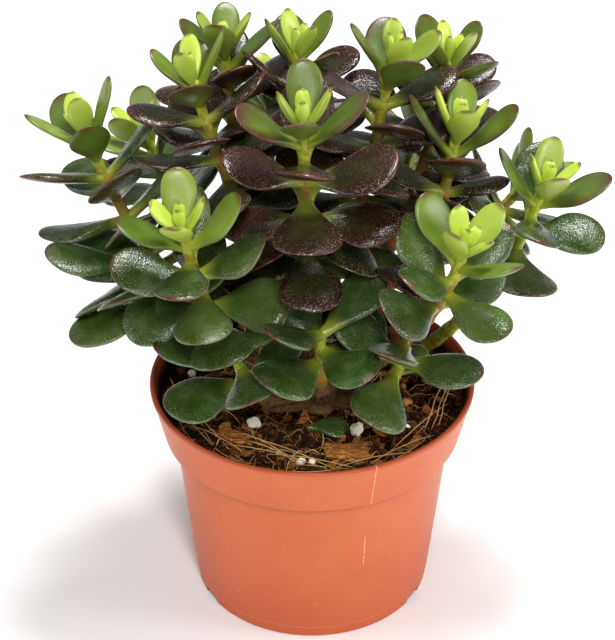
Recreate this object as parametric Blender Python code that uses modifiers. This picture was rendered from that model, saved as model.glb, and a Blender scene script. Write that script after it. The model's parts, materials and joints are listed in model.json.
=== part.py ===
"""Jade plant (Crassula) in a plastic nursery pot. Metres, +Z up, the middle of the pot's base at the origin."""

import math
import random

import bmesh
import bpy
from mathutils import Matrix, Vector
from mathutils.bvhtree import BVHTree

for old in list(bpy.data.objects):
    bpy.data.objects.remove(old, do_unlink=True)

# Sizes of the pot
POT_HEIGHT = 0.0884
RIM_RADIUS = 0.0600
BAND_HEIGHT = 0.0205
BAND_FOOT_RADIUS = 0.0553
BODY_TOP_RADIUS = 0.0516
BASE_RADIUS = 0.0444
WALL = 0.0012
LIP = 0.0022
FLOOR = 0.0015
SHOULDER_LOW = 0.0006
SHOULDER_HIGH = 0.0016
FOOT_RING_WIDTH = 0.0035
FOOT_RECESS = 0.0030
PAD_RADIUS = 0.0150
NOTCH_WIDTH = 0.0090
NOTCH_COUNT = 3
DRAIN_RADIUS = 0.0040
DRAIN_COUNT = 6
SOIL_BELOW_RIM = 0.0080

# Sizes of the plant
PLANT_SCALE = 1.0
TRUNK_RADIUS = 0.0078
LIMB_RADIUS = 0.0046
STEM_RADIUS = 0.0025
TIP_RADIUS = 0.0016
ROOT_DEPTH = 0.0120
LEAF_SCALE = 1.0
LEAF_THICKNESS = 0.0036
BUD = 0.0016

# Clearances
GAP = 0.0003
LEAF_GAP = 0.0005
LOWEST_MARGIN = 0.0045
SHORTEST_STEM = 0.0030
REST_GAP = 0.0004
BARK_GAP_SHARE = 0.12
SOIL_SWELL = 0.0014

COLOURS = {
    "terracotta_plastic": ((0.66, 0.19, 0.075), 0.42),
    "potting_soil": ((0.020, 0.011, 0.006), 0.95),
    "bark": ((0.115, 0.062, 0.034), 0.85),
    "green_stem": ((0.17, 0.26, 0.045), 0.50),
    "mature_leaf": ((0.055, 0.085, 0.030), 0.38),
    "purple_leaf": ((0.075, 0.035, 0.030), 0.38),
    "young_leaf": ((0.30, 0.50, 0.06), 0.40),
    "perlite": ((0.80, 0.77, 0.70), 0.85),
    "coir_chip": ((0.28, 0.095, 0.030), 0.85),
}

plant = bpy.data.collections.new("potted_jade_plant")
bpy.context.scene.collection.children.link(plant)
helpers = bpy.data.collections.new("helpers")
helpers.hide_render = True
bpy.context.scene.collection.children.link(helpers)

materials = {}
for name, (colour, roughness) in COLOURS.items():
    material = bpy.data.materials.new(name)
    material.use_nodes = True
    shader = material.node_tree.nodes["Principled BSDF"]
    shader.inputs["Base Color"].default_value = (*colour, 1.0)
    shader.inputs["Roughness"].default_value = roughness
    shader.inputs["Metallic"].default_value = 0.0
    material.diffuse_color = (*colour, 1.0)
    materials[name] = material


def add_object(name, mesh, material, collection=plant):
    made = bpy.data.objects.new(name, mesh)
    mesh.materials.clear()
    mesh.materials.append(materials[material])
    collection.objects.link(made)
    return made


def mesh_from_points(points, faces):
    mesh = bpy.data.meshes.new("solid")
    mesh.from_pydata([tuple(point) for point in points], [], faces)
    work = bmesh.new()
    work.from_mesh(mesh)
    bmesh.ops.recalc_face_normals(work, faces=work.faces)
    work.to_mesh(mesh)
    work.free()
    return mesh


def baked_mesh(made):
    """The mesh of an object after its modifiers, or of a curve after its bevel."""
    bpy.context.view_layer.update()
    evaluated = made.evaluated_get(bpy.context.evaluated_depsgraph_get())
    mesh = bpy.data.meshes.new_from_object(evaluated)
    mesh.transform(made.matrix_world)
    work = bmesh.new()
    work.from_mesh(mesh)
    bmesh.ops.remove_doubles(work, verts=work.verts, dist=0.00001)
    bmesh.ops.recalc_face_normals(work, faces=work.faces)
    work.to_mesh(mesh)
    work.free()
    bpy.data.objects.remove(made, do_unlink=True)
    return mesh


def combine(base_mesh, other_meshes, operation):
    """One Boolean of a mesh with all the others."""
    base = bpy.data.objects.new("base", base_mesh)
    plant.objects.link(base)
    others = bpy.data.collections.new("others")
    helpers.children.link(others)
    for other_mesh in other_meshes:
        others.objects.link(bpy.data.objects.new("other", other_mesh))
    boolean = base.modifiers.new("combine", "BOOLEAN")
    boolean.operation = operation
    boolean.solver = "EXACT"
    boolean.operand_type = "COLLECTION"
    boolean.collection = others
    result = baked_mesh(base)
    for other in list(others.objects):
        bpy.data.objects.remove(other, do_unlink=True)
    bpy.data.collections.remove(others)
    return result


def turned_mesh(profile, steps):
    """A profile of (radius, height), turned about Z. It runs down the outside and ends on the axis."""
    mesh = bpy.data.meshes.new("profile")
    edges = [(index, index + 1) for index in range(len(profile) - 1)]
    mesh.from_pydata([(radius, 0.0, height) for radius, height in profile], edges, [])
    turned = bpy.data.objects.new("turned", mesh)
    plant.objects.link(turned)
    screw = turned.modifiers.new("turn", "SCREW")
    screw.axis = "Z"
    screw.steps = steps
    screw.render_steps = steps
    screw.use_merge_vertices = True
    screw.merge_threshold = 0.00001
    return baked_mesh(turned)


def tube_mesh(points, radii, rounding=2):
    curve = bpy.data.curves.new("tube", "CURVE")
    curve.dimensions = "3D"
    curve.bevel_depth = 1.0
    curve.bevel_resolution = rounding
    curve.use_fill_caps = True
    spline = curve.splines.new("POLY")
    spline.points.add(len(points) - 1)
    for spot, point, radius in zip(spline.points, points, radii):
        spot.co = (*point, 1.0)
        spot.radius = radius
    tube = bpy.data.objects.new("tube", curve)
    plant.objects.link(tube)
    return baked_mesh(tube)


# The pot: one moulded wall with a deep rim band, a step under it, and a foot ring
FLOOR_TOP = FOOT_RECESS + FLOOR
band_foot = POT_HEIGHT - BAND_HEIGHT


def wall_radius(height):
    """Outside radius of the pot's body below the band."""
    return BASE_RADIUS + (BODY_TOP_RADIUS - BASE_RADIUS) * height / band_foot


pot_profile = [
    (0.0, FLOOR_TOP),
    (wall_radius(FLOOR_TOP) - WALL, FLOOR_TOP),
    (wall_radius(band_foot) - WALL, band_foot + SHOULDER_LOW),
    (BAND_FOOT_RADIUS - WALL, band_foot + SHOULDER_HIGH),
    (RIM_RADIUS - LIP, POT_HEIGHT - 0.0020),
    (RIM_RADIUS - LIP + 0.0006, POT_HEIGHT),
    (RIM_RADIUS - 0.0005, POT_HEIGHT),
    (RIM_RADIUS, POT_HEIGHT - 0.0006),
    (RIM_RADIUS - 0.0002, POT_HEIGHT - 0.0022),
    (RIM_RADIUS - 0.0008, POT_HEIGHT - 0.0026),
    (BAND_FOOT_RADIUS, band_foot + 0.0004),
    (BAND_FOOT_RADIUS - 0.0005, band_foot),
    (BODY_TOP_RADIUS + 0.0003, band_foot - 0.0004),
    (wall_radius(band_foot - 0.0030), band_foot - 0.0030),
    (wall_radius(0.0050), 0.0050),
    (wall_radius(0.0048) - 0.0004, 0.0046),
    (BASE_RADIUS, 0.0008),
    (BASE_RADIUS - 0.0006, 0.0),
    (BASE_RADIUS - FOOT_RING_WIDTH, 0.0),
    (BASE_RADIUS - FOOT_RING_WIDTH, FOOT_RECESS),
    (PAD_RADIUS, FOOT_RECESS),
    (PAD_RADIUS, 0.0),
    (0.0, 0.0),
]
pot_mesh = turned_mesh(pot_profile, 40)
pot_cutters = []
for number in range(NOTCH_COUNT):
    angle = math.tau * (number + 0.75) / NOTCH_COUNT
    work = bmesh.new()
    bmesh.ops.create_cube(work, size=1.0)
    bmesh.ops.scale(work, vec=(0.016, NOTCH_WIDTH, FOOT_RECESS * 1.6), verts=work.verts)
    bmesh.ops.translate(work, vec=(BASE_RADIUS - 0.001, 0.0, 0.0), verts=work.verts)
    bmesh.ops.rotate(work, cent=(0, 0, 0), matrix=Matrix.Rotation(angle, 3, "Z"), verts=work.verts)
    notch = bpy.data.meshes.new("notch")
    work.to_mesh(notch)
    work.free()
    pot_cutters.append(notch)
drain_ring = 0.5 * (PAD_RADIUS + BASE_RADIUS - FOOT_RING_WIDTH)
for number in range(DRAIN_COUNT):
    angle = math.tau * number / DRAIN_COUNT
    spot = Vector((drain_ring * math.cos(angle), drain_ring * math.sin(angle), FLOOR_TOP))
    work = bmesh.new()
    bmesh.ops.create_cone(
        work, cap_ends=True, segments=12, radius1=DRAIN_RADIUS, radius2=DRAIN_RADIUS,
        depth=0.010, matrix=Matrix.Translation(spot),
    )
    drain = bpy.data.meshes.new("drain")
    work.to_mesh(drain)
    work.free()
    pot_cutters.append(drain)
add_object("pot", combine(pot_mesh, pot_cutters, "DIFFERENCE"), "terracotta_plastic")

# The soil fills the pot from its floor to a little under the rim
soil_top = POT_HEIGHT - SOIL_BELOW_RIM


def inner_radius(height):
    """Inside radius of the pot at a height."""
    shoulder = band_foot + SHOULDER_HIGH
    if height < shoulder:
        return wall_radius(min(height, band_foot)) - WALL
    share = (height - shoulder) / (POT_HEIGHT - 0.0020 - shoulder)
    return BAND_FOOT_RADIUS - WALL + share * (RIM_RADIUS - LIP - BAND_FOOT_RADIUS + WALL)


soil_edge = inner_radius(soil_top) - GAP * 2
soil_profile = [
    (0.0, soil_top + 0.0010),
    (soil_edge * 0.30, soil_top + SOIL_SWELL),
    (soil_edge * 0.55, soil_top),
    (soil_edge * 0.80, soil_top + 0.0010),
    (soil_edge * 0.98, soil_top - 0.0012),
    (soil_edge - 0.0004, soil_top - 0.0030),
    (BAND_FOOT_RADIUS - WALL - GAP * 2, band_foot + SHOULDER_HIGH + GAP * 2),
    (wall_radius(band_foot) - WALL - GAP * 2, band_foot + SHOULDER_LOW),
    (inner_radius(FLOOR_TOP) - GAP * 2, FLOOR_TOP + GAP),
    (0.0, FLOOR_TOP + GAP),
]
soil_mesh = turned_mesh(soil_profile, 28)

# The trunk stands in the soil and forks low into limbs. Each shoot starts at the end of a limb
trunk_foot = Vector((0.003, -0.008, soil_top))
LOW_LIMB_HEIGHT = SOIL_SWELL + LIMB_RADIUS
limb_ends = {
    "middle": Vector((0.001, -0.004, 0.034 * PLANT_SCALE)),
    "left": Vector((-0.026, -0.012, 0.025 * PLANT_SCALE)),
    "right": Vector((0.027, -0.010, 0.026 * PLANT_SCALE)),
    "back_left": Vector((-0.017, 0.022, 0.028 * PLANT_SCALE)),
    "back_right": Vector((0.019, 0.023, 0.028 * PLANT_SCALE)),
    "low_left": Vector((-0.015, -0.022, LOW_LIMB_HEIGHT + 0.006 * PLANT_SCALE)),
    "low_middle": Vector((0.003, -0.022, LOW_LIMB_HEIGHT + 0.012 * PLANT_SCALE)),
    "low_right": Vector((0.022, -0.021, LOW_LIMB_HEIGHT + 0.007 * PLANT_SCALE)),
}
# One shoot is a cutting with its own foot in the soil
CUTTING_FOOT = Vector((0.043, 0.026, SOIL_SWELL + STEM_RADIUS * 0.6 + REST_GAP))

# Each shoot: limb, head (x, y, height over the soil), turn of its first leaf pair, age of that pair, pairs, size
SHOOTS = {
    "crown_left": ("middle", (-0.041, 0.010, 0.125), 0, 0, 10, 1.00),
    "crown_back_left": ("back_left", (-0.031, 0.032, 0.127), 90, 0, 9, 0.95),
    "crown_back": ("back_left", (-0.005, 0.028, 0.127), 30, 0, 9, 0.95),
    "crown_right": ("middle", (0.027, 0.012, 0.131), 10, 0, 10, 1.05),
    "crown_back_right": ("back_right", (0.049, 0.032, 0.122), 40, 0, 9, 0.95),
    "front_middle": ("middle", (-0.003, -0.026, 0.127), 90, 0, 11, 1.05),
    "front_right": ("right", (0.050, 0.002, 0.110), 90, 0, 9, 1.05),
    "far_right": ("cutting", (0.081, 0.000, 0.089), 90, 0, 7, 1.00),
    "low_right": ("right", (0.051, -0.038, 0.086), 40, 0, 7, 1.00),
    "far_left": ("left", (-0.079, 0.010, 0.104), 15, 0, 9, 1.10),
    "low_left": ("left", (-0.043, -0.038, 0.094), 90, 0, 10, 1.00),
    "back_far_left": ("back_left", (-0.062, 0.050, 0.082), 70, 0, 7, 1.00),
    "back_middle": ("back_left", (-0.016, 0.070, 0.090), 20, 0, 7, 1.00),
    "back_far_right": ("back_right", (0.040, 0.066, 0.078), 55, 0, 7, 1.00),
    "side_right": ("back_right", (0.080, 0.036, 0.072), 10, 0, 6, 1.00),
    "side_left": ("left", (-0.061, -0.016, 0.068), 8, 4, 3, 1.15),
    "base_left": ("low_left", (-0.027, -0.034, 0.041), 20, 4, 3, 1.00),
    "base_middle": ("low_middle", (0.003, -0.036, 0.051), 40, 4, 4, 1.00),
    "base_right": ("low_right", (0.033, -0.032, 0.043), 70, 4, 3, 1.00),
    "base_back": ("back_left", (-0.004, 0.045, 0.047), 60, 5, 3, 0.90),
}

# Rules by age, youngest pair first: distance below the head, length, width over length, tilt from the stem
NODE_DROP = (
    0.0004, 0.0020, 0.0045, 0.0090, 0.0155, 0.0225, 0.0305, 0.0395, 0.0495, 0.0605, 0.0725,
)
LEAF_LENGTH = (
    0.0115, 0.0180, 0.0235, 0.0275, 0.0290, 0.0300, 0.0305, 0.0310, 0.0315, 0.0315, 0.0315,
)
LEAF_RATIO = (0.44, 0.44, 0.48, 0.52, 0.60, 0.66, 0.69, 0.71, 0.71, 0.70, 0.66)
LEAF_TILT = (20, 34, 45, 56, 67, 75, 80, 84, 88, 94, 100)
YOUNG_AGES = 4
SUNLIT_HEIGHT = 0.105


def shoot_axis(limb, head):
    """The bent line of a shoot: it leaves the limb outwards and ends nearly upright."""
    start = Vector((limb.x, limb.y, soil_top + limb.z))
    end = Vector((head[0] * PLANT_SCALE, head[1] * PLANT_SCALE, soil_top + head[2] * PLANT_SCALE))
    bend = start.lerp(end, 0.72)
    bend.z = start.z + 0.42 * (end.z - start.z)
    points = []
    for step in range(41):
        share = step / 40
        points.append(start * (1 - share) ** 2 + bend * 2 * share * (1 - share) + end * share ** 2)
    return points


def along(points, distance):
    """The point and direction at a distance from the start of a line."""
    for first, second in zip(points, points[1:]):
        step = (second - first).length
        if distance <= step:
            return first.lerp(second, distance / step), (second - first).normalized()
        distance -= step
    return points[-1].copy(), (points[-1] - points[-2]).normalized()


def line_length(points):
    return sum((second - first).length for first, second in zip(points, points[1:]))


def stretch(points, begin, end, spacing=0.008):
    count = max(2, int((end - begin) / spacing) + 2)
    return [along(points, begin + (end - begin) * index / (count - 1))[0] for index in range(count)]


starts = {**limb_ends, "cutting": CUTTING_FOOT}
axes = {name: shoot_axis(starts[row[0]], row[1]) for name, row in SHOOTS.items()}
lengths = {name: line_length(points) for name, points in axes.items()}


def bark_length(name):
    """How far the bark runs up a shoot: to where it stands clear of every other shoot."""
    if SHOOTS[name][0] == "cutting":
        return 0.0
    points = axes[name]
    clear_from = 0.006
    step = 0.001
    distance = 0.0
    apart = STEM_RADIUS * 2.2 + GAP * 2
    while distance < lengths[name]:
        here = along(points, distance)[0]
        for other, other_points in axes.items():
            if other == name:
                continue
            if min((here - point).length for point in other_points) < apart:
                clear_from = max(clear_from, distance + step)
        distance += step
    return clear_from


trunk_head = trunk_foot + Vector((-0.001, 0.002, 0.020 * PLANT_SCALE))
trunk_root = trunk_foot - Vector((0.0, 0.0, ROOT_DEPTH))
trunk_tube = tube_mesh(
    [trunk_root, trunk_foot, trunk_head],
    [TRUNK_RADIUS * 1.05, TRUNK_RADIUS, TRUNK_RADIUS * 0.85],
)
wood_parts = []
for end in limb_ends.values():
    far = Vector((end.x, end.y, soil_top + end.z))
    near = trunk_foot.lerp(trunk_head, 0.35)
    middle = near.lerp(far, 0.5) - Vector((0, 0, 0.002 * PLANT_SCALE))
    wood_parts.append(tube_mesh([near, middle, far], [LIMB_RADIUS * 1.15, LIMB_RADIUS, LIMB_RADIUS * 0.9]))
bark_ends = {name: bark_length(name) for name in SHOOTS}
for name, points in axes.items():
    if bark_ends[name] == 0.0:
        continue
    line = stretch(points, 0.0, bark_ends[name])
    radii = [LIMB_RADIUS * 0.85 + (STEM_RADIUS - LIMB_RADIUS * 0.85) * index / (len(line) - 1)
             for index in range(len(line))]
    wood_parts.append(tube_mesh(line, radii))
trunk_mesh = combine(trunk_tube, wood_parts, "UNION")
add_object("trunk", trunk_mesh, "bark")

pocket = tube_mesh(
    [trunk_root - Vector((0, 0, GAP)), trunk_foot + Vector((0, 0, 0.006))],
    [TRUNK_RADIUS * 1.05 + GAP * 1.5] * 2,
)
add_object("soil", combine(soil_mesh, [pocket], "DIFFERENCE"), "potting_soil")

# One leaf: a ball drawn out into a thick spoon shape, broadest past the middle
LEAF_SIDES = 6
LEAF_RINGS = 4
CUP = 0.12
work = bmesh.new()
bmesh.ops.create_uvsphere(work, u_segments=LEAF_SIDES, v_segments=LEAF_RINGS, radius=1.0)
bmesh.ops.rotate(work, cent=(0, 0, 0), matrix=Matrix.Rotation(math.pi / 2, 3, "Y"), verts=work.verts)
bmesh.ops.rotate(work, cent=(0, 0, 0), matrix=Matrix.Rotation(math.pi / 2, 3, "X"), verts=work.verts)
ball_points = [vert.co.copy() for vert in work.verts]
ball_faces = [[vert.index for vert in face.verts] for face in work.faces]
work.free()


def leaf_points(length, width, thick, curl, cup):
    """The ball's points moved onto a leaf that starts at the origin and runs along X, upper side to +Z."""
    points = []
    for point in ball_points:
        share = min(1.0, max(0.0, (1.0 + point.x) / 2)) ** 0.85
        broad = share ** 1.40
        outline = math.sqrt(max(0.0, 1.0 - (2 * broad - 1.0) ** 2))
        narrow = 0.74 + 0.26 * min(1.0, share / 0.45)
        ring = max(0.0001, math.sqrt(point.y ** 2 + point.z ** 2))
        across = point.y / ring * width / 2 * outline * narrow
        height = point.z / ring * thick / 2 * outline ** 0.7 * (1.15 - 0.30 * share)
        if height > 0:
            height *= 0.7
        height += cup * (across / (width / 2)) ** 2 * width / 2
        turn = curl * share
        if abs(curl) > 0.001:
            forward = length * math.sin(turn) / curl
            rise = length * (1 - math.cos(turn)) / curl
        else:
            forward = length * share
            rise = 0.0
        points.append(Vector((forward - height * math.sin(turn), across, rise + height * math.cos(turn))))
    return points


def leaf_frame(spot, direction, azimuth, tilt):
    """Where a leaf sits: its base on the stem, its length at a tilt from the stem."""
    side = Vector((1, 0, 0)) - direction * direction.x
    side.normalize()
    cross = direction.cross(side)
    out = side * math.cos(azimuth) + cross * math.sin(azimuth)
    forward = direction * math.cos(tilt) + out * math.sin(tilt)
    upper = direction * math.sin(tilt) - out * math.cos(tilt)
    sideways = upper.cross(forward)
    return Matrix((
        (forward.x, sideways.x, upper.x, spot.x),
        (forward.y, sideways.y, upper.y, spot.y),
        (forward.z, sideways.z, upper.z, spot.z),
        (0, 0, 0, 1),
    ))


placed = []


def note_solid(points, faces, owner):
    centre = sum(points, Vector()) / len(points)
    reach = max((point - centre).length for point in points)
    placed.append((BVHTree.FromPolygons(points, faces), centre, reach, owner))


def note_mesh(mesh, owner):
    note_solid([vert.co.copy() for vert in mesh.vertices], [list(face.vertices) for face in mesh.polygons], owner)


def is_clear(points, owners):
    """True if a closed shape touches nothing but the pieces that it grows from."""
    centre = sum(points, Vector()) / len(points)
    reach = max((point - centre).length for point in points)
    tree = None
    for other_tree, other_centre, other_reach, owner in placed:
        if owner in owners or (other_centre - centre).length > reach + other_reach:
            continue
        if tree is None:
            tree = BVHTree.FromPolygons(points, ball_faces)
        if tree.overlap(other_tree):
            return False
    return True


# Ways for a crowded leaf to find room, the least change first
TRIALS = []
for size in (1.0, 0.9, 0.8, 0.7, 0.6, 0.5, 0.4):
    for tilt_change in (0, -9, 9, -18, 18, -27):
        for turn_change in (0, 10, -10, 20, -20, 30, -30):
            cost = (1 - size) * 90 + abs(tilt_change) + abs(turn_change) * 0.7
            TRIALS.append((cost, size, tilt_change, turn_change))
TRIALS.sort()

note_mesh(bpy.data.objects["trunk"].data, "trunk")
note_mesh(bpy.data.objects["soil"].data, "soil")
note_mesh(bpy.data.objects["pot"].data, "pot")

def drop(name, age):
    """How far below the head of a shoot the leaf pair of an age grows."""
    size = SHOOTS[name][5] * PLANT_SCALE
    return (NODE_DROP[age] - NODE_DROP[SHOOTS[name][3]]) * size + BUD


# The bare stem of every shoot, and the leafy lengths over it. The lowest pairs have fallen where bark grew
bodies = {}
grown_ages = {}
for name, (limb, head, turn, youngest, pairs, size) in SHOOTS.items():
    total = lengths[name]
    begin = bark_ends[name] + STEM_RADIUS * BARK_GAP_SHARE
    ages = list(range(youngest, youngest + pairs))
    while len(ages) > 1 and total - drop(name, ages[-1]) - LOWEST_MARGIN < begin + SHORTEST_STEM:
        ages.pop()
    grown_ages[name] = ages
    lowest = total - drop(name, ages[-1]) - LOWEST_MARGIN

    def radius_at(distance):
        share = distance / total
        return STEM_RADIUS + (TIP_RADIUS - STEM_RADIUS) * max(0.0, share - 0.3) / 0.7

    if youngest < YOUNG_AGES:
        split = total - 0.5 * (drop(name, YOUNG_AGES - 1) + drop(name, YOUNG_AGES))
        lines = {
            "stem": (begin, lowest),
            "leaves": (lowest + GAP, split),
            "tip": (split + GAP, total),
        }
    else:
        lines = {"leaves": (begin, total)}
    for part, (first, last) in lines.items():
        points = stretch(axes[name], first, last, 0.007)
        count = len(points) - 1
        radii = [radius_at(first + (last - first) * index / count) for index in range(count + 1)]
        bodies[name, part] = tube_mesh(points, radii, 1)
        note_mesh(bodies[name, part], (name, part))

# Leaves grow in opposite pairs, each pair a quarter turn from the last. Every crown is placed before older leaves
chance = random.Random(7)
leaves = {key: [] for key in bodies}
for age in range(len(NODE_DROP)):
    for name, (limb, head, turn, youngest, pairs, size) in SHOOTS.items():
        if age not in grown_ages[name]:
            continue
        part = "tip" if age < YOUNG_AGES else "leaves"
        spot, direction = along(axes[name], lengths[name] - drop(name, age))
        for side in range(2):
            wobble = [chance.uniform(-1, 1) for _ in range(5)]
            length = LEAF_LENGTH[age] * size * LEAF_SCALE * (1 + 0.07 * wobble[0])
            ratio = LEAF_RATIO[age] * (1 + 0.06 * wobble[1])
            azimuth = math.radians(turn + 90 * (age - youngest) + 180 * side + 7 * wobble[2])
            tilt = math.radians(LEAF_TILT[age] + 6 * wobble[3])
            curl = (0.25 if age < 7 else -0.10) + 0.15 * wobble[4]
            thick = LEAF_THICKNESS * (0.75 if age < YOUNG_AGES else 1.0)
            for _, fit, tilt_change, turn_change in TRIALS:
                frame = leaf_frame(
                    spot, direction, azimuth + math.radians(turn_change), tilt + math.radians(tilt_change)
                )
                long = length * fit
                wide = long * ratio
                fat = leaf_points(long + LEAF_GAP, wide + LEAF_GAP * 2, thick + LEAF_GAP * 2, curl, CUP)
                owners = {(name, part), (name, part, age, 1 - side)}
                if is_clear([frame @ point for point in fat], owners):
                    slim = [frame @ point for point in leaf_points(long, wide, thick, curl, CUP)]
                    leaves[name, part].append(mesh_from_points(slim, ball_faces))
                    note_solid(slim, ball_faces, (name, part, age, side))
                    break

for (name, part), tube in bodies.items():
    sunlit = SHOOTS[name][1][2] > SUNLIT_HEIGHT
    colour = {"stem": "green_stem", "tip": "young_leaf", "leaves": "mature_leaf"}[part]
    if part == "leaves" and sunlit:
        colour = "purple_leaf"
    grown = leaves[name, part]
    body = combine(tube, grown, "UNION") if grown else tube
    add_object(f"shoot_{name}_{part}", body, colour)


# Loose things lying on the soil: white perlite grains, chips of coir husk and one fallen leaf
soil_tree = BVHTree.FromPolygons(
    [vert.co.copy() for vert in bpy.data.objects["soil"].data.vertices],
    [list(face.vertices) for face in bpy.data.objects["soil"].data.polygons],
)


def lay_on_soil(name, mesh, colour):
    """Lowers a piece until it lies a small gap over the soil."""
    drops = []
    for vert in mesh.vertices:
        hit = soil_tree.ray_cast(vert.co, Vector((0, 0, -1)))
        if hit[0] is not None:
            drops.append(hit[3])
    mesh.transform(Matrix.Translation((0, 0, REST_GAP - min(drops))))
    add_object(name, mesh, colour)


def lump_mesh(centre, sizes, turn, seed):
    """A rough lump: a ball of flat faces, pushed in and out a little."""
    rough = random.Random(seed)
    work = bmesh.new()
    bmesh.ops.create_icosphere(work, subdivisions=2, radius=0.5)
    for vert in work.verts:
        vert.co *= rough.uniform(0.86, 1.08)
    bmesh.ops.scale(work, vec=sizes, verts=work.verts)
    bmesh.ops.rotate(work, cent=(0, 0, 0), matrix=Matrix.Rotation(math.radians(turn), 3, "Z"), verts=work.verts)
    bmesh.ops.translate(work, vec=(centre[0], centre[1], soil_top + 0.015), verts=work.verts)
    mesh = bpy.data.meshes.new("lump")
    work.to_mesh(mesh)
    work.free()
    return mesh


def chip_mesh(centre, sizes, turn, seed):
    """A torn flat chip: a plate with its corners moved."""
    rough = random.Random(seed)
    work = bmesh.new()
    bmesh.ops.create_cube(work, size=1.0)
    bmesh.ops.subdivide_edges(work, edges=work.edges, cuts=1, use_grid_fill=True)
    for vert in work.verts:
        vert.co += Vector([rough.uniform(-0.10, 0.10) for _ in range(3)])
    bmesh.ops.scale(work, vec=sizes, verts=work.verts)
    bmesh.ops.rotate(work, cent=(0, 0, 0), matrix=Matrix.Rotation(math.radians(turn), 3, "Z"), verts=work.verts)
    bmesh.ops.translate(work, vec=(centre[0], centre[1], soil_top + 0.015), verts=work.verts)
    mesh = bpy.data.meshes.new("chip")
    work.to_mesh(mesh)
    work.free()
    return mesh


PERLITE = {
    "perlite_grain_1": ((0.016, -0.0270), (0.0042, 0.0038, 0.0050), 20),
    "perlite_grain_2": ((-0.021, -0.0225), (0.0046, 0.0038, 0.0036), 70),
    "perlite_grain_3": ((0.029, -0.0260), (0.0044, 0.0034, 0.0036), 10),
}
for number, (name, (centre, sizes, turn)) in enumerate(PERLITE.items()):
    lay_on_soil(name, lump_mesh(centre, sizes, turn, 20 + number), "perlite")
lay_on_soil("coir_chip_large", chip_mesh((0.012, -0.0400), (0.0160, 0.0080, 0.0030), 12, 31), "coir_chip")
lay_on_soil("coir_chip_small", chip_mesh((-0.028, -0.0330), (0.0110, 0.0055, 0.0022), -25, 32), "coir_chip")
fallen = mesh_from_points(leaf_points(0.0160, 0.0100, 0.0028, -0.1, 0.10), ball_faces)
fallen.transform(Matrix.Translation((-0.002, -0.0265, soil_top + 0.015)) @ Matrix.Rotation(math.radians(8), 4, "Z"))
lay_on_soil("fallen_leaf", fallen, "mature_leaf")
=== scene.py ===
import json
import math
import random

import bmesh
import bpy
import numpy as np
from mathutils import Matrix, Vector, kdtree, noise

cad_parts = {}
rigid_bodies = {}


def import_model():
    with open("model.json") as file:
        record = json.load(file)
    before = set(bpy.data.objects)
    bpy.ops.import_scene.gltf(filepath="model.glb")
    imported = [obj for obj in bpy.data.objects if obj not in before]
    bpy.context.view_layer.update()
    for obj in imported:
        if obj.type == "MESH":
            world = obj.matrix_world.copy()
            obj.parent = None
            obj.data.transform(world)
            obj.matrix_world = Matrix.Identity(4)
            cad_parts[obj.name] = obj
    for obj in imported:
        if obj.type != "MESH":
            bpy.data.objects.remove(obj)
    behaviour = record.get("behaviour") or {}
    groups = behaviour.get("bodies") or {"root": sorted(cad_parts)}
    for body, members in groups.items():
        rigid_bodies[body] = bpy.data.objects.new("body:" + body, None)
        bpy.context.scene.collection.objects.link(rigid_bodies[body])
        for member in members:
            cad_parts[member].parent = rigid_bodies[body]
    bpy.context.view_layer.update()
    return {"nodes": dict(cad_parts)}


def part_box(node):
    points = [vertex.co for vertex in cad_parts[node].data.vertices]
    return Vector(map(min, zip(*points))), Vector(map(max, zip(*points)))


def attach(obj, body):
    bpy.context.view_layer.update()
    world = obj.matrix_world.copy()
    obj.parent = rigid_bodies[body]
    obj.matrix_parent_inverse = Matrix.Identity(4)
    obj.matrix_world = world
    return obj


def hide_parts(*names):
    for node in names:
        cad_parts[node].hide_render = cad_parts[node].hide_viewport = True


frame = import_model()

# ---------------------------------------------------------------------------
# The pot. A thin tapered nursery pot, injection moulded in terracotta-coloured
# plastic, with a deep flared band under its rim, a foot ring and drain holes.
POT_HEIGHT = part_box("pot")[1].z
RIM_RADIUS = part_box("pot")[1].x
BAND_HEIGHT = 0.0205
BAND_FOOT_RADIUS = 0.0553
BODY_TOP_RADIUS = 0.0516
BASE_RADIUS = 0.0444
WALL = 0.0012
LIP = 0.0022
FLOOR_TOP = 0.0045
FOOT_RECESS = 0.0030
FOOT_RING_WIDTH = 0.0035
PAD_RADIUS = 0.0150
NOTCH_WIDTH = 0.0090
DRAIN_RADIUS = 0.0040
POT_STEPS = 180
CORNER_EASE = 0.0004
NOTCH_COUNT = 3
NOTCH_REACH = 0.016
NOTCH_ROUND = 0.0007
DRAIN_COUNT = 6
DRAIN_SIDES = 40

TERRACOTTA = (0.490, 0.102, 0.029)
TERRACOTTA_PALE = (0.610, 0.155, 0.055)
TERRACOTTA_DEEP = (0.500, 0.072, 0.018)
DARKER_LIP_TOP = (0.330, 0.050, 0.012)
SCUFF_PALE = (0.820, 0.400, 0.240)
DRY_DUST = (0.880, 0.560, 0.420)
FOOT_LEDGE_HIGHLIGHT = (0.850, 0.380, 0.220)
SEAM_PALE = (0.90, 0.52, 0.34)
INNER_WALL_SHADE = (0.060, 0.008, 0.005)
SOIL_STAIN_AND_SHADE = (0.016, 0.005, 0.003)

band_foot = POT_HEIGHT - BAND_HEIGHT


def wall_radius(height):
    """Outside radius of the pot's body below the band."""
    return BASE_RADIUS + (BODY_TOP_RADIUS - BASE_RADIUS) * height / band_foot


def rounded(points, radius):
    """The same outline with each corner eased by a short curve."""
    smooth = [points[0]]
    for before, corner, after in zip(points, points[1:], points[2:]):
        here = Vector(corner)
        to_before = Vector(before) - here
        to_after = Vector(after) - here
        start = here + to_before.normalized() * min(radius, to_before.length * 0.45)
        end = here + to_after.normalized() * min(radius, to_after.length * 0.45)
        for step in range(5):
            share = step / 4
            spot = start * (1 - share) ** 2 + here * 2 * share * (1 - share) + end * share ** 2
            smooth.append(tuple(spot))
    smooth.append(points[-1])
    return smooth


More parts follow.
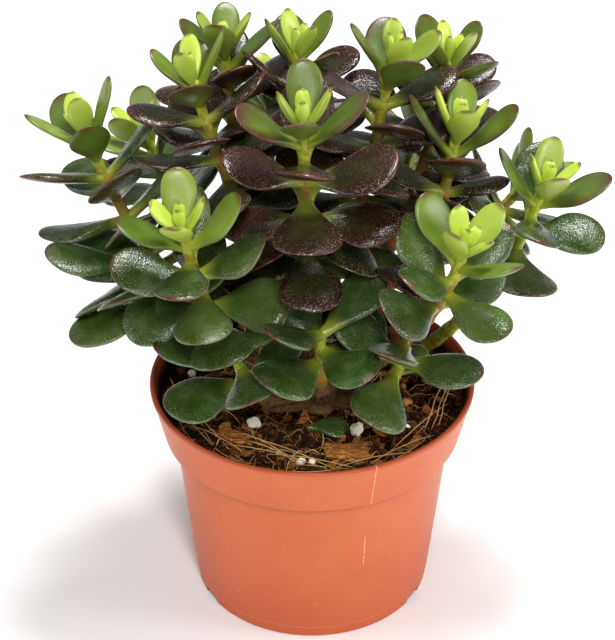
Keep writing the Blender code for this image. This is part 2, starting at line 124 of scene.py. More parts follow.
def placed(name, data):
    """A new object in the scene."""
    made = bpy.data.objects.new(name, data)
    bpy.context.scene.collection.objects.link(made)
    return made


def turned_mesh(name, profile, steps):
    """A profile of (radius, height) turned about the pot's upright axis."""
    mesh = bpy.data.meshes.new(name)
    edges = [(index, index + 1) for index in range(len(profile) - 1)]
    mesh.from_pydata([(radius, 0.0, height) for radius, height in profile], edges, [])
    turned = placed(name, mesh)
    screw = turned.modifiers.new("turn", "SCREW")
    screw.axis = "Z"
    screw.steps = steps
    screw.render_steps = steps
    screw.use_merge_vertices = True
    screw.merge_threshold = 0.00001
    return applied_mesh(turned)


def applied_mesh(piece):
    """The mesh of an object once its modifiers are applied. The object itself is removed."""
    bpy.context.view_layer.update()
    evaluated = piece.evaluated_get(bpy.context.evaluated_depsgraph_get())
    mesh = bpy.data.meshes.new_from_object(evaluated)
    bpy.data.objects.remove(piece, do_unlink=True)
    work = bmesh.new()
    work.from_mesh(mesh)
    bmesh.ops.remove_doubles(work, verts=work.verts, dist=0.000005)
    bmesh.ops.recalc_face_normals(work, faces=work.faces)
    work.to_mesh(mesh)
    work.free()
    return mesh


def plug(tree, node, sockets):
    """Gives each named socket of a node a plain value, or a link from another node's output."""
    for name, value in sockets.items():
        if isinstance(value, bpy.types.NodeSocket):
            tree.links.new(value, node.inputs[name])
        else:
            node.inputs[name].default_value = value


def put(tree, kind, sockets=None, **settings):
    """Adds a shader node with its settings and sockets."""
    made = tree.nodes.new(kind)
    for key, value in settings.items():
        setattr(made, key, value)
    plug(tree, made, sockets or {})
    return made


def reckon(tree, operation, *values, clamp=False):
    made = put(tree, "ShaderNodeMath", dict(enumerate(values)), operation=operation, use_clamp=clamp)
    return made.outputs[0]


def times(tree, first, second, clamp=False):
    return reckon(tree, "MULTIPLY", first, second, clamp=clamp)


def colour(rgb):
    return rgb if isinstance(rgb, bpy.types.NodeSocket) else (*rgb, 1.0)


def blend_colour(tree, share, first, second):
    """The first colour where the share is 0, and the second where it is 1."""
    made = put(tree, "ShaderNodeMix", {0: share, 6: colour(first), 7: colour(second)}, data_type="RGBA")
    return made.outputs[2]


def tint(tree, base, mask, strength, paint):
    """Lays a colour over the base where a mask is, at that strength."""
    return blend_colour(tree, times(tree, mask, strength), base, paint)


def fade(tree, value, low, high, start=0.0, end=1.0):
    """A smooth change from start to end while a value goes from low to high."""
    made = put(tree, "ShaderNodeMapRange", {
        "Value": value, "From Min": low, "From Max": high, "To Min": start, "To Max": end,
    }, interpolation_type="SMOOTHSTEP")
    return made.outputs["Result"]


def new_material(name):
    material = bpy.data.materials.new(name)
    material.use_nodes = True
    tree = material.node_tree
    return material, tree, tree.nodes["Principled BSDF"]


def new_group(name, inputs, outputs):
    """An empty shader node group with named sockets, each input with its usual value."""
    group = bpy.data.node_groups.new(name, "ShaderNodeTree")
    for label, usual in inputs.items():
        made = group.interface.new_socket(label, in_out="INPUT", socket_type="NodeSocketFloat")
        made.default_value = usual
    for label in outputs:
        group.interface.new_socket(label, in_out="OUTPUT", socket_type="NodeSocketFloat")
    return group, group.nodes.new("NodeGroupInput").outputs, group.nodes.new("NodeGroupOutput").inputs


def use_group(tree, group, **values):
    """Places a group. An underscore stands for the space in a socket's name."""
    made = put(tree, "ShaderNodeGroup", node_tree=group)
    plug(tree, made, {name.replace("_", " "): value for name, value in values.items()})
    return made.outputs


def object_place(tree):
    """Where a point lies on the object, in metres."""
    return put(tree, "ShaderNodeTexCoord").outputs["Object"]


def grain(tree, per_metre, detail, roughness=0.5, drawn=None):
    """Noise all over the object. Where drawn is given, the noise is stretched by it on each axis."""
    place = object_place(tree)
    if drawn:
        place = put(tree, "ShaderNodeMapping", {"Vector": place, "Scale": drawn}).outputs["Vector"]
    sockets = {"Vector": place, "Scale": per_metre, "Detail": detail, "Roughness": roughness}
    return put(tree, "ShaderNodeTexNoise", sockets).outputs["Fac"]


def relief(tree, height, strength, distance):
    """Relief too fine to model, for the Normal of a material."""
    sockets = {"Height": height, "Strength": strength, "Distance": distance}
    return put(tree, "ShaderNodeBump", sockets).outputs["Normal"]


# Mottle: soft cloudy patches, as even a plain surface has. Size is in patches per metre.
mottle, given, result = new_group(
    "Mottle", {"Per Metre": 60.0, "Low": 0.35, "High": 0.65, "Rough": 0.55}, ["Patches"])
clouds = grain(mottle, given["Per Metre"], 5.0, given["Rough"])
patches = put(mottle, "ShaderNodeMapRange", {
    "Value": clouds, "From Min": given["Low"], "From Max": given["High"],
})
mottle.links.new(patches.outputs["Result"], result["Patches"])

# Specks: small round dots strewn at random. Share is how many of the cells hold a dot.
specks, given, result = new_group("Specks", {"Per Metre": 900.0, "Radius": 0.25, "Share": 0.3}, ["Dots"])
cells = put(specks, "ShaderNodeTexVoronoi", {
    "Vector": object_place(specks), "Scale": given["Per Metre"], "Randomness": 1.0,
})
spot = put(specks, "ShaderNodeMapRange", {
    "Value": cells.outputs["Distance"], "From Min": times(specks, given["Radius"], 0.55),
    "From Max": given["Radius"], "To Min": 1.0, "To Max": 0.0,
})
parts = put(specks, "ShaderNodeSeparateColor", {"Color": cells.outputs["Color"]})
chosen = reckon(specks, "LESS_THAN", parts.outputs[0], given["Share"])
specks.links.new(times(specks, spot.outputs["Result"], chosen), result["Dots"])


def patches_of(tree, per_metre, low, high, rough=0.55):
    return use_group(tree, mottle, Per_Metre=per_metre, Low=low, High=high, Rough=rough)["Patches"]


def dots_of(tree, per_metre, radius, share):
    return use_group(tree, specks, Per_Metre=per_metre, Radius=radius, Share=share)["Dots"]


def show(name, mesh, material, slot, *nodes):
    """Puts a finished mesh in the scene as a piece that stands for the named CAD nodes."""
    piece = placed(name, mesh)
    mesh.materials.clear()
    mesh.materials.append(material)
    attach(piece, "root")
    if nodes:
        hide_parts(*nodes)
    return piece


pot_profile = rounded([
    (0.0, FLOOR_TOP),
    (wall_radius(FLOOR_TOP) - WALL, FLOOR_TOP),
    (wall_radius(band_foot) - WALL, band_foot + 0.0006),
    (BAND_FOOT_RADIUS - WALL, band_foot + 0.0016),
    (RIM_RADIUS - LIP, POT_HEIGHT - 0.0020),
    (RIM_RADIUS - LIP + 0.0004, POT_HEIGHT - 0.0003),
    (RIM_RADIUS - LIP + 0.0009, POT_HEIGHT),
    (RIM_RADIUS - 0.0006, POT_HEIGHT),
    (RIM_RADIUS, POT_HEIGHT - 0.0006),
    (RIM_RADIUS - 0.0001, POT_HEIGHT - 0.0021),
    (RIM_RADIUS - 0.0006, POT_HEIGHT - 0.0026),
    (BAND_FOOT_RADIUS + 0.0001, band_foot + 0.0006),
    (BAND_FOOT_RADIUS - 0.0005, band_foot),
    (BODY_TOP_RADIUS + 0.0004, band_foot - 0.0005),
    (wall_radius(band_foot - 0.0030), band_foot - 0.0030),
    (wall_radius(0.0052), 0.0052),
    (wall_radius(0.0048) - 0.0004, 0.0046),
    (BASE_RADIUS - 0.0001, 0.0008),
    (BASE_RADIUS - 0.0008, 0.0),
    (BASE_RADIUS - FOOT_RING_WIDTH, 0.0),
    (BASE_RADIUS - FOOT_RING_WIDTH, FOOT_RECESS),
    (PAD_RADIUS, FOOT_RECESS),
    (PAD_RADIUS, 0.0),
    (0.0, 0.0),
], CORNER_EASE)
pot_mesh = turned_mesh("pot_shell", pot_profile, POT_STEPS)

cutters = bpy.data.collections.new("pot_cutters")
bpy.context.scene.collection.children.link(cutters)


def add_cutter(work):
    """Makes one more shape to cut out of the pot from a finished bmesh."""
    mesh = bpy.data.meshes.new("pot_cutter")
    work.to_mesh(mesh)
    work.free()
    cutters.objects.link(bpy.data.objects.new("pot_cutter", mesh))


drain_ring = 0.5 * (PAD_RADIUS + BASE_RADIUS - FOOT_RING_WIDTH)
for number in range(NOTCH_COUNT):
    work = bmesh.new()
    bmesh.ops.create_cube(work, size=1.0)
    bmesh.ops.scale(work, vec=(NOTCH_REACH, NOTCH_WIDTH, FOOT_RECESS * 1.6), verts=work.verts)
    bmesh.ops.bevel(work, geom=work.edges, offset=NOTCH_ROUND, segments=3, affect="EDGES")
    bmesh.ops.translate(work, vec=(BASE_RADIUS - 0.001, 0.0, 0.0), verts=work.verts)
    turn = Matrix.Rotation(math.tau * (number + 0.75) / NOTCH_COUNT, 3, "Z")
    bmesh.ops.rotate(work, cent=(0, 0, 0), matrix=turn, verts=work.verts)
    add_cutter(work)
for number in range(DRAIN_COUNT):
    work = bmesh.new()
    angle = math.tau * number / DRAIN_COUNT
    spot = Vector((drain_ring * math.cos(angle), drain_ring * math.sin(angle), FLOOR_TOP))
    bmesh.ops.create_cone(work, cap_ends=True, segments=DRAIN_SIDES, radius1=DRAIN_RADIUS,
                          radius2=DRAIN_RADIUS, depth=0.010, matrix=Matrix.Translation(spot))
    add_cutter(work)
pot_blank = placed("pot_blank", pot_mesh)
cut = pot_blank.modifiers.new("cut", "BOOLEAN")
cut.operation = "DIFFERENCE"
cut.solver = "EXACT"
cut.operand_type = "COLLECTION"
cut.collection = cutters
pot_mesh = applied_mesh(pot_blank)
for cutter in list(cutters.objects):
    bpy.data.objects.remove(cutter, do_unlink=True)
bpy.data.collections.remove(cutters)
pot_mesh.shade_smooth()
pot_mesh.set_sharp_from_angle(angle=math.radians(40))

terracotta, tree, shader = new_material("terracotta_plastic")
place = object_place(tree)
x, y, z = put(tree, "ShaderNodeSeparateXYZ", {"Vector": place}).outputs
base = tint(tree, TERRACOTTA, patches_of(tree, 45.0, 0.30, 0.70), 0.35, TERRACOTTA_PALE)
base = blend_colour(tree, fade(tree, z, 0.0, 0.045, 0.45, 0.0), base, TERRACOTTA_DEEP)
# The lip is darker towards its top edge and the body has pale scuffs; a painted highlight lies along the ledge
# above the foot
lip = fade(tree, z, POT_HEIGHT - 0.0020, POT_HEIGHT - 0.0002, 0.0, 0.75)
base = blend_colour(tree, lip, base, DARKER_LIP_TOP)
base = tint(tree, base, patches_of(tree, 260.0, 0.60, 0.74, 0.75), 0.22, SCUFF_PALE)
base = tint(tree, base, dots_of(tree, 420.0, 0.10, 0.05), 0.45, DRY_DUST)
# Painted highlight: a pale line at the ledge just above the foot
base = tint(tree, base, reckon(tree, "COMPARE", z, 0.0049, 0.00028), 0.35, FOOT_LEDGE_HIGHLIGHT)
# The seam of the mould, a thin pale broken line down the band, and one light scratch lower down
slope = reckon(tree, "DIVIDE", x, times(tree, y, -1.0))
front = reckon(tree, "LESS_THAN", y, 0.0)
broken = patches_of(tree, 380.0, 0.36, 0.46)
seam = times(tree, reckon(tree, "COMPARE", slope, 0.405, 0.0030), fade(tree, z, 0.060, 0.069))
scratch = times(tree, reckon(tree, "COMPARE", slope, 0.420, 0.0040), reckon(tree, "COMPARE", z, 0.042, 0.007))
marks = times(tree, reckon(tree, "ADD", seam, scratch), times(tree, front, broken), clamp=True)
base = tint(tree, base, marks, 0.6, SEAM_PALE)
# Painted shade darkens every face below the rim that looks inwards or down, the foot's too, and wet soil has
# left a patchy stain over it inside the rim
normal = put(tree, "ShaderNodeNewGeometry").outputs["Normal"]
facing = put(tree, "ShaderNodeVectorMath", {0: place, 1: normal}, operation="DOT_PRODUCT").outputs["Value"]
under_rim = fade(tree, z, POT_HEIGHT - 0.001, POT_HEIGHT - 0.007)
turned_in_shade = times(tree, reckon(tree, "LESS_THAN", facing, 0.0), under_rim)
base = blend_colour(tree, turned_in_shade, base, INNER_WALL_SHADE)
stain = fade(tree, patches_of(tree, 220.0, 0.25, 0.60), 0.0, 1.0, 0.20, 0.95)
# The patchy soil stain is dark enough to deepen the painted shade on the same faces
plug(tree, shader, {
    "Base Color": tint(tree, base, turned_in_shade, stain, SOIL_STAIN_AND_SHADE),
    "Roughness": fade(tree, patches_of(tree, 700.0, 0.30, 0.75, 0.7), 0.0, 1.0, 0.40, 0.52),
    "Normal": relief(tree, grain(tree, 1800.0, 3.0), 0.06, 0.0004),
    "Specular IOR Level": 0.35,
    "Subsurface Weight": 0.05,
    "Subsurface Radius": (0.004, 0.0015, 0.0008),
})
show("pot_shell", pot_mesh, terracotta, "terracotta_plastic", "pot")

# ---------------------------------------------------------------------------
# The potting soil. A dark mix of peat and coir, filled to a finger's breadth
# under the rim, crumbly on top and loose enough to show lumps and hollows.
SOIL_BELOW_RIM = 0.0080
SOIL_SWELL = 0.0014
GAP = 0.0003
PEAT_DARK = (0.0050, 0.0018, 0.0008)
PEAT_BROWN = (0.036, 0.011, 0.003)
COIR_RED = (0.230, 0.068, 0.012)
COIR_GOLD = (0.700, 0.400, 0.110)

soil_top = POT_HEIGHT - SOIL_BELOW_RIM
soil_share = (soil_top - band_foot - 0.0016) / (BAND_HEIGHT - 0.0036)
soil_edge = BAND_FOOT_RADIUS - WALL + soil_share * (RIM_RADIUS - LIP - BAND_FOOT_RADIUS + WALL) - GAP * 2
swell_radii = [0.0, soil_edge * 0.30, soil_edge * 0.55, soil_edge * 0.80, soil_edge * 0.98, soil_edge + 0.001]
swell_heights = [0.0010, SOIL_SWELL, 0.0, 0.0010, -0.0012, -0.0025]


def soil_height(x, y):
    """Height of the crumbly surface of the soil."""
    radius = math.hypot(x, y)
    height = soil_top + float(np.interp(radius, swell_radii, swell_heights))
    spot = Vector((x, y, 0.0))
    height += 0.0018 * noise.noise(spot * 110.0)
    height += 0.0020 * noise.noise(spot * 290.0 + Vector((5.0, 1.0, 0.0)))
    height += 0.0014 * abs(noise.noise(spot * 700.0 + Vector((0.0, 7.0, 2.0))))
    return height + 0.0007 * noise.noise(spot * 1700.0)


rings = [(soil_edge * math.sqrt(step / 80), soil_top) for step in range(81)]
soil_profile = rings + [
    (BAND_FOOT_RADIUS - WALL - GAP * 2, band_foot + 0.0022),
    (wall_radius(band_foot) - WALL - GAP * 2, band_foot + 0.0006),
    (wall_radius(FLOOR_TOP) - WALL - GAP * 2, FLOOR_TOP + GAP),
    (0.0, FLOOR_TOP + GAP),
]
soil_mesh = turned_mesh("soil_bed", soil_profile, 360)
for vert in soil_mesh.vertices:
    if vert.co.z > soil_top - 0.0001:
        vert.co.z = soil_height(vert.co.x, vert.co.y)
soil_mesh.shade_smooth()


def soil_shader(name):
    """Peat with brown and gold fragments of coir in it. Its base colour is handed back, to be added to."""
    material, tree, shader = new_material(name)
    lumps = patches_of(tree, 260.0, 0.35, 0.68, 0.65)
    base = blend_colour(tree, lumps, PEAT_DARK, PEAT_BROWN)
    base = tint(tree, base, patches_of(tree, 800.0, 0.52, 0.62, 0.7), 0.7, COIR_RED)
    base = tint(tree, base, dots_of(tree, 1100.0, 0.34, 0.09), 0.6, COIR_GOLD)
    plug(tree, shader, {
        "Roughness": fade(tree, lumps, 0.0, 1.0, 0.80, 0.98),
        "Normal": relief(tree, grain(tree, 1500.0, 4.0), 0.9, 0.0010),
        "Specular IOR Level": 0.12,
    })
    return material, tree, shader, base


peat, tree, shader, base = soil_shader("potting_soil")
tree.links.new(base, shader.inputs["Base Color"])
show("soil_bed", soil_mesh, peat, "potting_soil", "soil")

# Crumbs of peat and coir pith lie loose on the bed, from dust up to pea size.
TRUNK_FOOT = Vector((0.003, -0.008, soil_top))
TRUNK_RADIUS = 0.0078
CRUMB_COUNT = 1500
CRUMB_DUST = 0.0004
CRUMB_GROWTH = 0.0017


def mark(mesh, label, values):
    """Keeps a number at each point of a mesh, for its material to read."""
    mesh.attributes.new(label, "FLOAT", "POINT").data.foreach_set("value", values)


def marked(tree, label):
    return put(tree, "ShaderNodeAttribute", attribute_name=label).outputs["Fac"]


class Pile:
    """Many small solids gathered into one mesh, each with a random number of its own."""

    def __init__(self):
        self.points = []
        self.faces = []
        self.chance = []

    def add(self, points, faces, chance):
        first = len(self.points)
        self.points.extend(points)
        self.faces.extend([index + first for index in face] for face in faces)
        self.chance.extend([chance] * len(points))

    def mesh(self, name):
        mesh = bpy.data.meshes.new(name)
        mesh.from_pydata([tuple(point) for point in self.points], [], self.faces)
        mark(mesh, "chance", self.chance)
        mesh.shade_smooth()
        return mesh


def ball_shape(subdivisions):
    work = bmesh.new()
    bmesh.ops.create_icosphere(work, subdivisions=subdivisions, radius=1.0)
    points = [vert.co.copy() for vert in work.verts]
    faces = [[vert.index for vert in face.verts] for face in work.faces]
    work.free()
    return points, faces


def rough_ball(shape, centre, sizes, turn, roughness, seed, scale=1.3):
    """A ball pushed in and out by noise, then stretched, turned and moved."""
    offset = Vector((seed * 3.7, seed * 1.3, seed * 2.1))
    points = []
    for point in shape:
        push = 1.0 + roughness * noise.noise(point * scale + offset)
        push += roughness * 0.5 * noise.noise(point * scale * 2.7 + offset)
        stretched = Vector((point.x * sizes[0], point.y * sizes[1], point.z * sizes[2]))
        points.append(turn @ (stretched * push) + centre)
    return points


def random_turn(chance):
    round_about = Matrix.Rotation(chance.uniform(0, math.tau), 3, "Z")
    return round_about @ Matrix.Rotation(chance.uniform(-0.9, 0.9), 3, "X")


def random_spot(reach, clear=0.0):
    """A spot on the bed, evenly strewn out to that share of its radius."""
    radius = soil_edge * reach * math.sqrt(chance.uniform(clear, 1.0))
    angle = chance.uniform(0, math.tau)
    return radius * math.cos(angle), radius * math.sin(angle)


crumbs = Pile()
small_ball, small_faces = ball_shape(2)
chance = random.Random(11)
for number in range(CRUMB_COUNT):
    spot = Vector((*random_spot(0.975), 0.0))
    if (spot.xy - TRUNK_FOOT.xy).length < TRUNK_RADIUS + 0.001:
        continue
    size = CRUMB_DUST + CRUMB_GROWTH * chance.random() ** 4
    spot.z = soil_height(spot.x, spot.y) + size * 0.25
    sizes = (size, size * chance.uniform(0.6, 1.0), size * chance.uniform(0.5, 0.9))
    points = rough_ball(small_ball, spot, sizes, random_turn(chance), 0.95, number, 1.7)
    crumbs.add(points, small_faces, chance.random())
crumb_peat, tree, shader, base = soil_shader("crumb_peat")
lot = marked(tree, "chance")
base = blend_colour(tree, fade(tree, lot, 0.62, 0.92, 0.0, 0.75), base, COIR_RED)
base = blend_colour(tree, fade(tree, lot, 0.93, 0.98, 0.0, 0.55), base, COIR_GOLD)
tree.links.new(base, shader.inputs["Base Color"])
show("soil_crumbs", crumbs.mesh("soil_crumbs"), crumb_peat, "potting_soil")

# ---------------------------------------------------------------------------
# Perlite. Grains of puffed volcanic glass mixed into the soil, white, brittle
# and full of pits, washed up to the surface by watering.
grains = {
    "perlite_grain_1": ((0.016, -0.0270), (0.0023, 0.0021, 0.0027)),
    "perlite_grain_2": ((-0.021, -0.0225), (0.0025, 0.0021, 0.0020)),
    "perlite_grain_3": ((0.029, -0.0260), (0.0024, 0.0019, 0.0020)),
}
PERLITE_WHITE = (0.960, 0.900, 0.740)
PERLITE_DIRT = (0.520, 0.360, 0.180)
PUFFING = 0.28
PUFF_SCALE = 1.5

perlite, tree, shader = new_material("perlite")
pits = put(tree, "ShaderNodeTexVoronoi", {"Vector": object_place(tree), "Scale": 1700.0}).outputs["Distance"]
plug(tree, shader, {
    "Base Color": tint(tree, PERLITE_WHITE, patches_of(tree, 700.0, 0.50, 0.75), 0.45, PERLITE_DIRT),
    "Roughness": 0.85,
    "Normal": relief(tree, pits, 0.6, 0.0006),
    "Subsurface Weight": 0.15,
    "Subsurface Radius": (0.002, 0.0018, 0.0015),
})

fine_ball, fine_faces = ball_shape(4)
for number, (name, (spot, sizes)) in enumerate(grains.items()):
    pile = Pile()
    centre = Vector((*spot, soil_height(*spot) + sizes[2] * 0.75))
    points = rough_ball(fine_ball, centre, sizes, random_turn(chance), PUFFING, 40 + number, PUFF_SCALE)
    pile.add(points, fine_faces, chance.random())
    show("popped_" + name, pile.mesh(name), perlite, "perlite", name)

small_grains = Pile()
mid_ball, mid_faces = ball_shape(3)
for number, (x, y, size) in enumerate([
    (-0.004, -0.0440, 0.0018), (0.000, -0.0450, 0.0014), (0.034, -0.0245, 0.0017), (0.042, -0.0120, 0.0015),
    (-0.036, -0.0160, 0.0016), (-0.032, -0.0300, 0.0012), (0.047, 0.0180, 0.0019), (0.020, -0.0330, 0.0010),
    (-0.012, -0.0400, 0.0010), (-0.045, 0.0100, 0.0016), (-0.020, 0.0400, 0.0018), (0.014, 0.0460, 0.0020),
    (0.033, 0.0380, 0.0014), (-0.038, 0.0300, 0.0013), (0.005, 0.0330, 0.0016), (-0.048, -0.0080, 0.0012),
]):
    centre = Vector((x, y, soil_height(x, y) + size * 0.55))
    sizes = (size, size * chance.uniform(0.7, 1.0), size * chance.uniform(0.7, 1.0))
    points = rough_ball(mid_ball, centre, sizes, random_turn(chance), PUFFING, 60 + number, PUFF_SCALE)
    small_grains.add(points, mid_faces, chance.random())
show("small_perlite", small_grains.mesh("small_perlite"), perlite, "perlite")

# ---------------------------------------------------------------------------
# Coir. Chips of coconut husk and the long golden threads that pull out of
# them. They were mixed into the soil, and many lie curled on its surface.
HUSK_BROWN = (0.460, 0.180, 0.030)
HUSK_DARK = (0.120, 0.030, 0.006)

HUSK_GOLD = (0.760, 0.440, 0.120)
THREAD_BROWN = (0.120, 0.040, 0.010)
THREAD_GOLD = (0.760, 0.480, 0.170)
CHIP_COUNT = 80
FIBRE_COUNT = 330
FIBRE_SIDES = 5
FIBRE_STEP = 0.0011
LONG_FIBRE_RADIUS = 0.00016
STRAIGHT_FIBRE_RADIUS = 0.00017

husk, tree, shader = new_material("coir_husk")
strands = grain(tree, 1.0, 4.0, 0.65, drawn=(160.0, 2000.0, 900.0))
base = blend_colour(tree, fade(tree, strands, 0.36, 0.62), HUSK_DARK, HUSK_BROWN)
plug(tree, shader, {
    "Base Color": blend_colour(tree, fade(tree, strands, 0.60, 0.72, 0.0, 0.6), base, HUSK_GOLD),
    "Roughness": 0.85,
    "Normal": relief(tree, strands, 0.9, 0.0008),
    "Specular IOR Level": 0.25,
})


def husk_chip(pile, spot, sizes, turn, lean, seed):
    """A torn flat flake of husk with ragged ends, lying on the soil."""
    long_steps, wide_steps = 22, 14
    rough = random.Random(seed)
    phases = [rough.uniform(0, 9) for _ in range(3)]
    centre = Vector((*spot, soil_height(*spot) + sizes[2] * 0.8))
    way = Matrix.Rotation(math.radians(turn), 3, "Z") @ Matrix.Rotation(lean, 3, "Y")
    points = []
    for side in (1, -1):
        for i in range(long_steps + 1):
            for j in range(wide_steps + 1):
                u = i / long_steps * 2 - 1
                v = j / wide_steps * 2 - 1
                ragged = 0.12 * noise.noise(Vector((v * 4.0, phases[0], 0.0)))
                ragged += 0.07 * noise.noise(Vector((v * 11.0, phases[1], 0)))
                narrow = 1.0 - 0.18 * abs(u) ** 3 + 0.10 * noise.noise(Vector((u * 2.0, phases[2], 0.0)))
                rim = min(1.0, 5.0 * (1 - abs(u)), 5.0 * (1 - abs(v))) ** 0.5
                ripple = 0.35 * noise.noise(Vector((u * 2.0, v * 5.0, phases[2])))
                points.append(centre + way @ Vector((
                    (u + ragged * u) * sizes[0] / 2, v * narrow * sizes[1] / 2,
                    sizes[2] * (0.5 * side * rim + ripple) + 0.0010 * (u * u) * phases[0] / 9,
                )))
    count = (long_steps + 1) * (wide_steps + 1)
    row = wide_steps + 1
    faces = []
    for i in range(long_steps):
        for j in range(wide_steps):
            a = i * row + j
            faces.append([a, a + row, a + row + 1, a + 1])
            faces.append([count + a, count + a + 1, count + a + row + 1, count + a + row])
    pile.add(points, faces, rough.random())


for name, spot, sizes, turn in (
    ("coir_chip_large", (0.0120, -0.0400), (0.0160, 0.0080, 0.0026), 12),
    ("coir_chip_small", (-0.0280, -0.0330), (0.0110, 0.0055, 0.0020), -25),
):
    pile = Pile()
    husk_chip(pile, spot, sizes, turn, 0.12, len(name) + turn)
    show("torn_" + name, pile.mesh(name), husk, "coir_chip", name)
loose_chips = Pile()
for number in range(CHIP_COUNT):
    spot = random_spot(0.93, 0.08)
    if (Vector(spot) - TRUNK_FOOT.xy).length < TRUNK_RADIUS + 0.004:
        continue
    long = chance.uniform(0.003, 0.008)
    sizes = (long, long * chance.uniform(0.3, 0.6), 0.0010)
    husk_chip(loose_chips, spot, sizes, chance.uniform(0, 360), chance.uniform(-0.5, 0.5), 100 + number)
show("loose_husk", loose_chips.mesh("loose_husk"), husk, "coir_chip")

threads, tree, shader = new_material("coir_threads")
base = blend_colour(tree, fade(tree, marked(tree, "chance"), 0.1, 0.95), THREAD_BROWN, THREAD_GOLD)
base = tint(tree, base, patches_of(tree, 500.0, 0.3, 0.7), 0.4, HUSK_DARK)
plug(tree, shader, {"Base Color": base, "Roughness": 0.6})


def tube_faces(rows, sides):
    """The faces of a tube made of rows of points, with a flat cap at each end."""
    faces = []
    for row in range(rows - 1):
        for corner in range(sides):
            a = row * sides + corner
            b = row * sides + (corner + 1) % sides
            faces.append([a, b, b + sides, a + sides])
    faces.append(list(range(sides))[::-1])
    faces.append([(rows - 1) * sides + corner for corner in range(sides)])
    return faces


def thread(pile, points, radius, chance_value):
    """A thin round fibre through the points, tapered at both ends."""
    shape = []
    count = len(points)
    for index, point in enumerate(points):
        ahead = points[min(index + 1, count - 1)] - points[max(index - 1, 0)]
        ahead.normalize()
        side = ahead.cross(Vector((0.13, 0.21, 0.97))).normalized()
        over = side.cross(ahead)
        from_end = min(index, count - 1 - index)
        thin = radius * (0.35 + 0.65 * math.sin(math.pi * min(0.5, 3 * from_end / count)))
        for corner in range(FIBRE_SIDES):
            angle = math.tau * corner / FIBRE_SIDES
            shape.append(point + side * math.cos(angle) * thin + over * math.sin(angle) * thin)
    pile.add(shape, tube_faces(count, FIBRE_SIDES), chance_value)


fibres = Pile()
for number in range(FIBRE_COUNT):
    here = Vector((*random_spot(0.96, 0.02), 0.0))
    heading = chance.uniform(0, math.tau)
    bend = chance.uniform(-0.11, 0.11)
    lift = chance.uniform(0.0002, 0.0016)
    steps = chance.randint(8, 26)
    line = []
    for step in range(steps):
        if here.xy.length > soil_edge * 0.985:
            break
        ride_over = lift * math.sin(math.pi * step / (steps - 1))
        line.append(Vector((here.x, here.y, soil_height(here.x, here.y) + 0.0002 + ride_over)))
        heading += bend + chance.uniform(-0.12, 0.12)
        here += Vector((math.cos(heading), math.sin(heading), 0.0)) * FIBRE_STEP
    if len(line) > 5:
        thread(fibres, line, chance.uniform(0.00006, 0.00017), chance.random() ** 1.2)
# Long threads lie in arcs along the front of the rim, where watering has pushed them
for start, sweep, reach, wave in (
    (196, 62, 0.0532, 0.0006), (228, 84, 0.0538, 0.0005), (262, 66, 0.0505, 0.0022),
    (212, 70, 0.0490, 0.0026), (222, 46, 0.0430, 0.0030), (205, 40, 0.0500, 0.0022),
):
    line = []
    for step in range(60):
        share = step / 59
        angle = math.radians(start + sweep * share)
        radius = reach + wave * math.sin(share * 4.0 + start) - 0.004 * abs(share - 0.5)
        x, y = radius * math.cos(angle), radius * math.sin(angle)
        bed = soil_top - 0.0008 + 0.0006 * noise.noise(Vector((x, y, 0.0)) * 60.0)
        line.append(Vector((x, y, bed + 0.0012 + 0.0014 * math.sin(share * 4.0 + start) ** 2)))
    thread(fibres, line, LONG_FIBRE_RADIUS, 0.75 + 0.25 * chance.random())
# Straight strands cross the front, and a few stand up near the rim. Each has two ends and an arch
for first, last, arch in (
    ((-0.030, -0.030, 0.001), (-0.004, -0.046, 0.001), 0.0022),
    ((-0.031, -0.034, 0.001), (0.004, -0.048, 0.001), 0.0016),
    ((-0.046, -0.022, 0.001), (-0.024, -0.040, 0.001), 0.0020),
    ((0.020, -0.046, 0.001), (0.044, -0.030, 0.002), 0.0015),
    ((0.040, -0.026, 0.000), (0.049, -0.014, 0.018), 0.0010),
    ((0.043, -0.024, 0.000), (0.050, -0.016, 0.019), -0.0008),
    ((0.046, -0.022, 0.000), (0.050, -0.012, 0.011), 0.0012),
    ((-0.048, -0.018, 0.000), (-0.052, -0.004, 0.009), 0.0010),
    ((-0.034, -0.026, 0.003), (-0.006, -0.043, 0.001), 0.0020),
    ((-0.028, -0.028, 0.002), (0.008, -0.050, 0.002), 0.0012),
    ((-0.050, -0.010, 0.003), (-0.030, -0.036, 0.001), 0.0018),
    ((-0.052, -0.012, 0.002), (-0.036, -0.034, 0.001), 0.0010),
    ((-0.016, -0.040, 0.001), (0.016, -0.050, 0.002), 0.0014),
    ((0.008, -0.048, 0.001), (0.036, -0.040, 0.002), 0.0012),
    ((-0.044, -0.006, 0.004), (-0.026, -0.022, 0.001), 0.0024),
    ((0.028, -0.038, 0.001), (0.050, -0.010, 0.002), 0.0014),
):
    line = []
    for step in range(24):
        share = step / 23
        spot = Vector(first).lerp(Vector(last), share)
        base_height = soil_top + 0.0008
        wander = 0.0008 * noise.noise(Vector((share * 3.0, first[0] * 90.0, 0.0)))
        height = base_height + spot.z + arch * math.sin(math.pi * share)
        line.append(Vector((spot.x + wander, spot.y, height)))
    thread(fibres, line, STRAIGHT_FIBRE_RADIUS, 0.8 + 0.2 * chance.random())
show("coir_fibres", fibres.mesh("coir_fibres"), threads, "coir_chip")

# ---------------------------------------------------------------------------
# The woody base. A short trunk forks low down into limbs, all one living
# piece, with brown bark that has cracked lengthwise and ringed where leaves fell.
LIMB_RADIUS = 0.0046
STEM_RADIUS = 0.0025
TIP_RADIUS = 0.0016
ROOT_DEPTH = 0.0120
REST_GAP = 0.0004
BARK_VOXEL = 0.00055
BARK_LIGHT = (0.290, 0.145, 0.050)
BARK_BROWN = (0.125, 0.055, 0.018)
BARK_FLAKE = (0.320, 0.200, 0.095)
BARK_CRACK = (0.012, 0.005, 0.002)

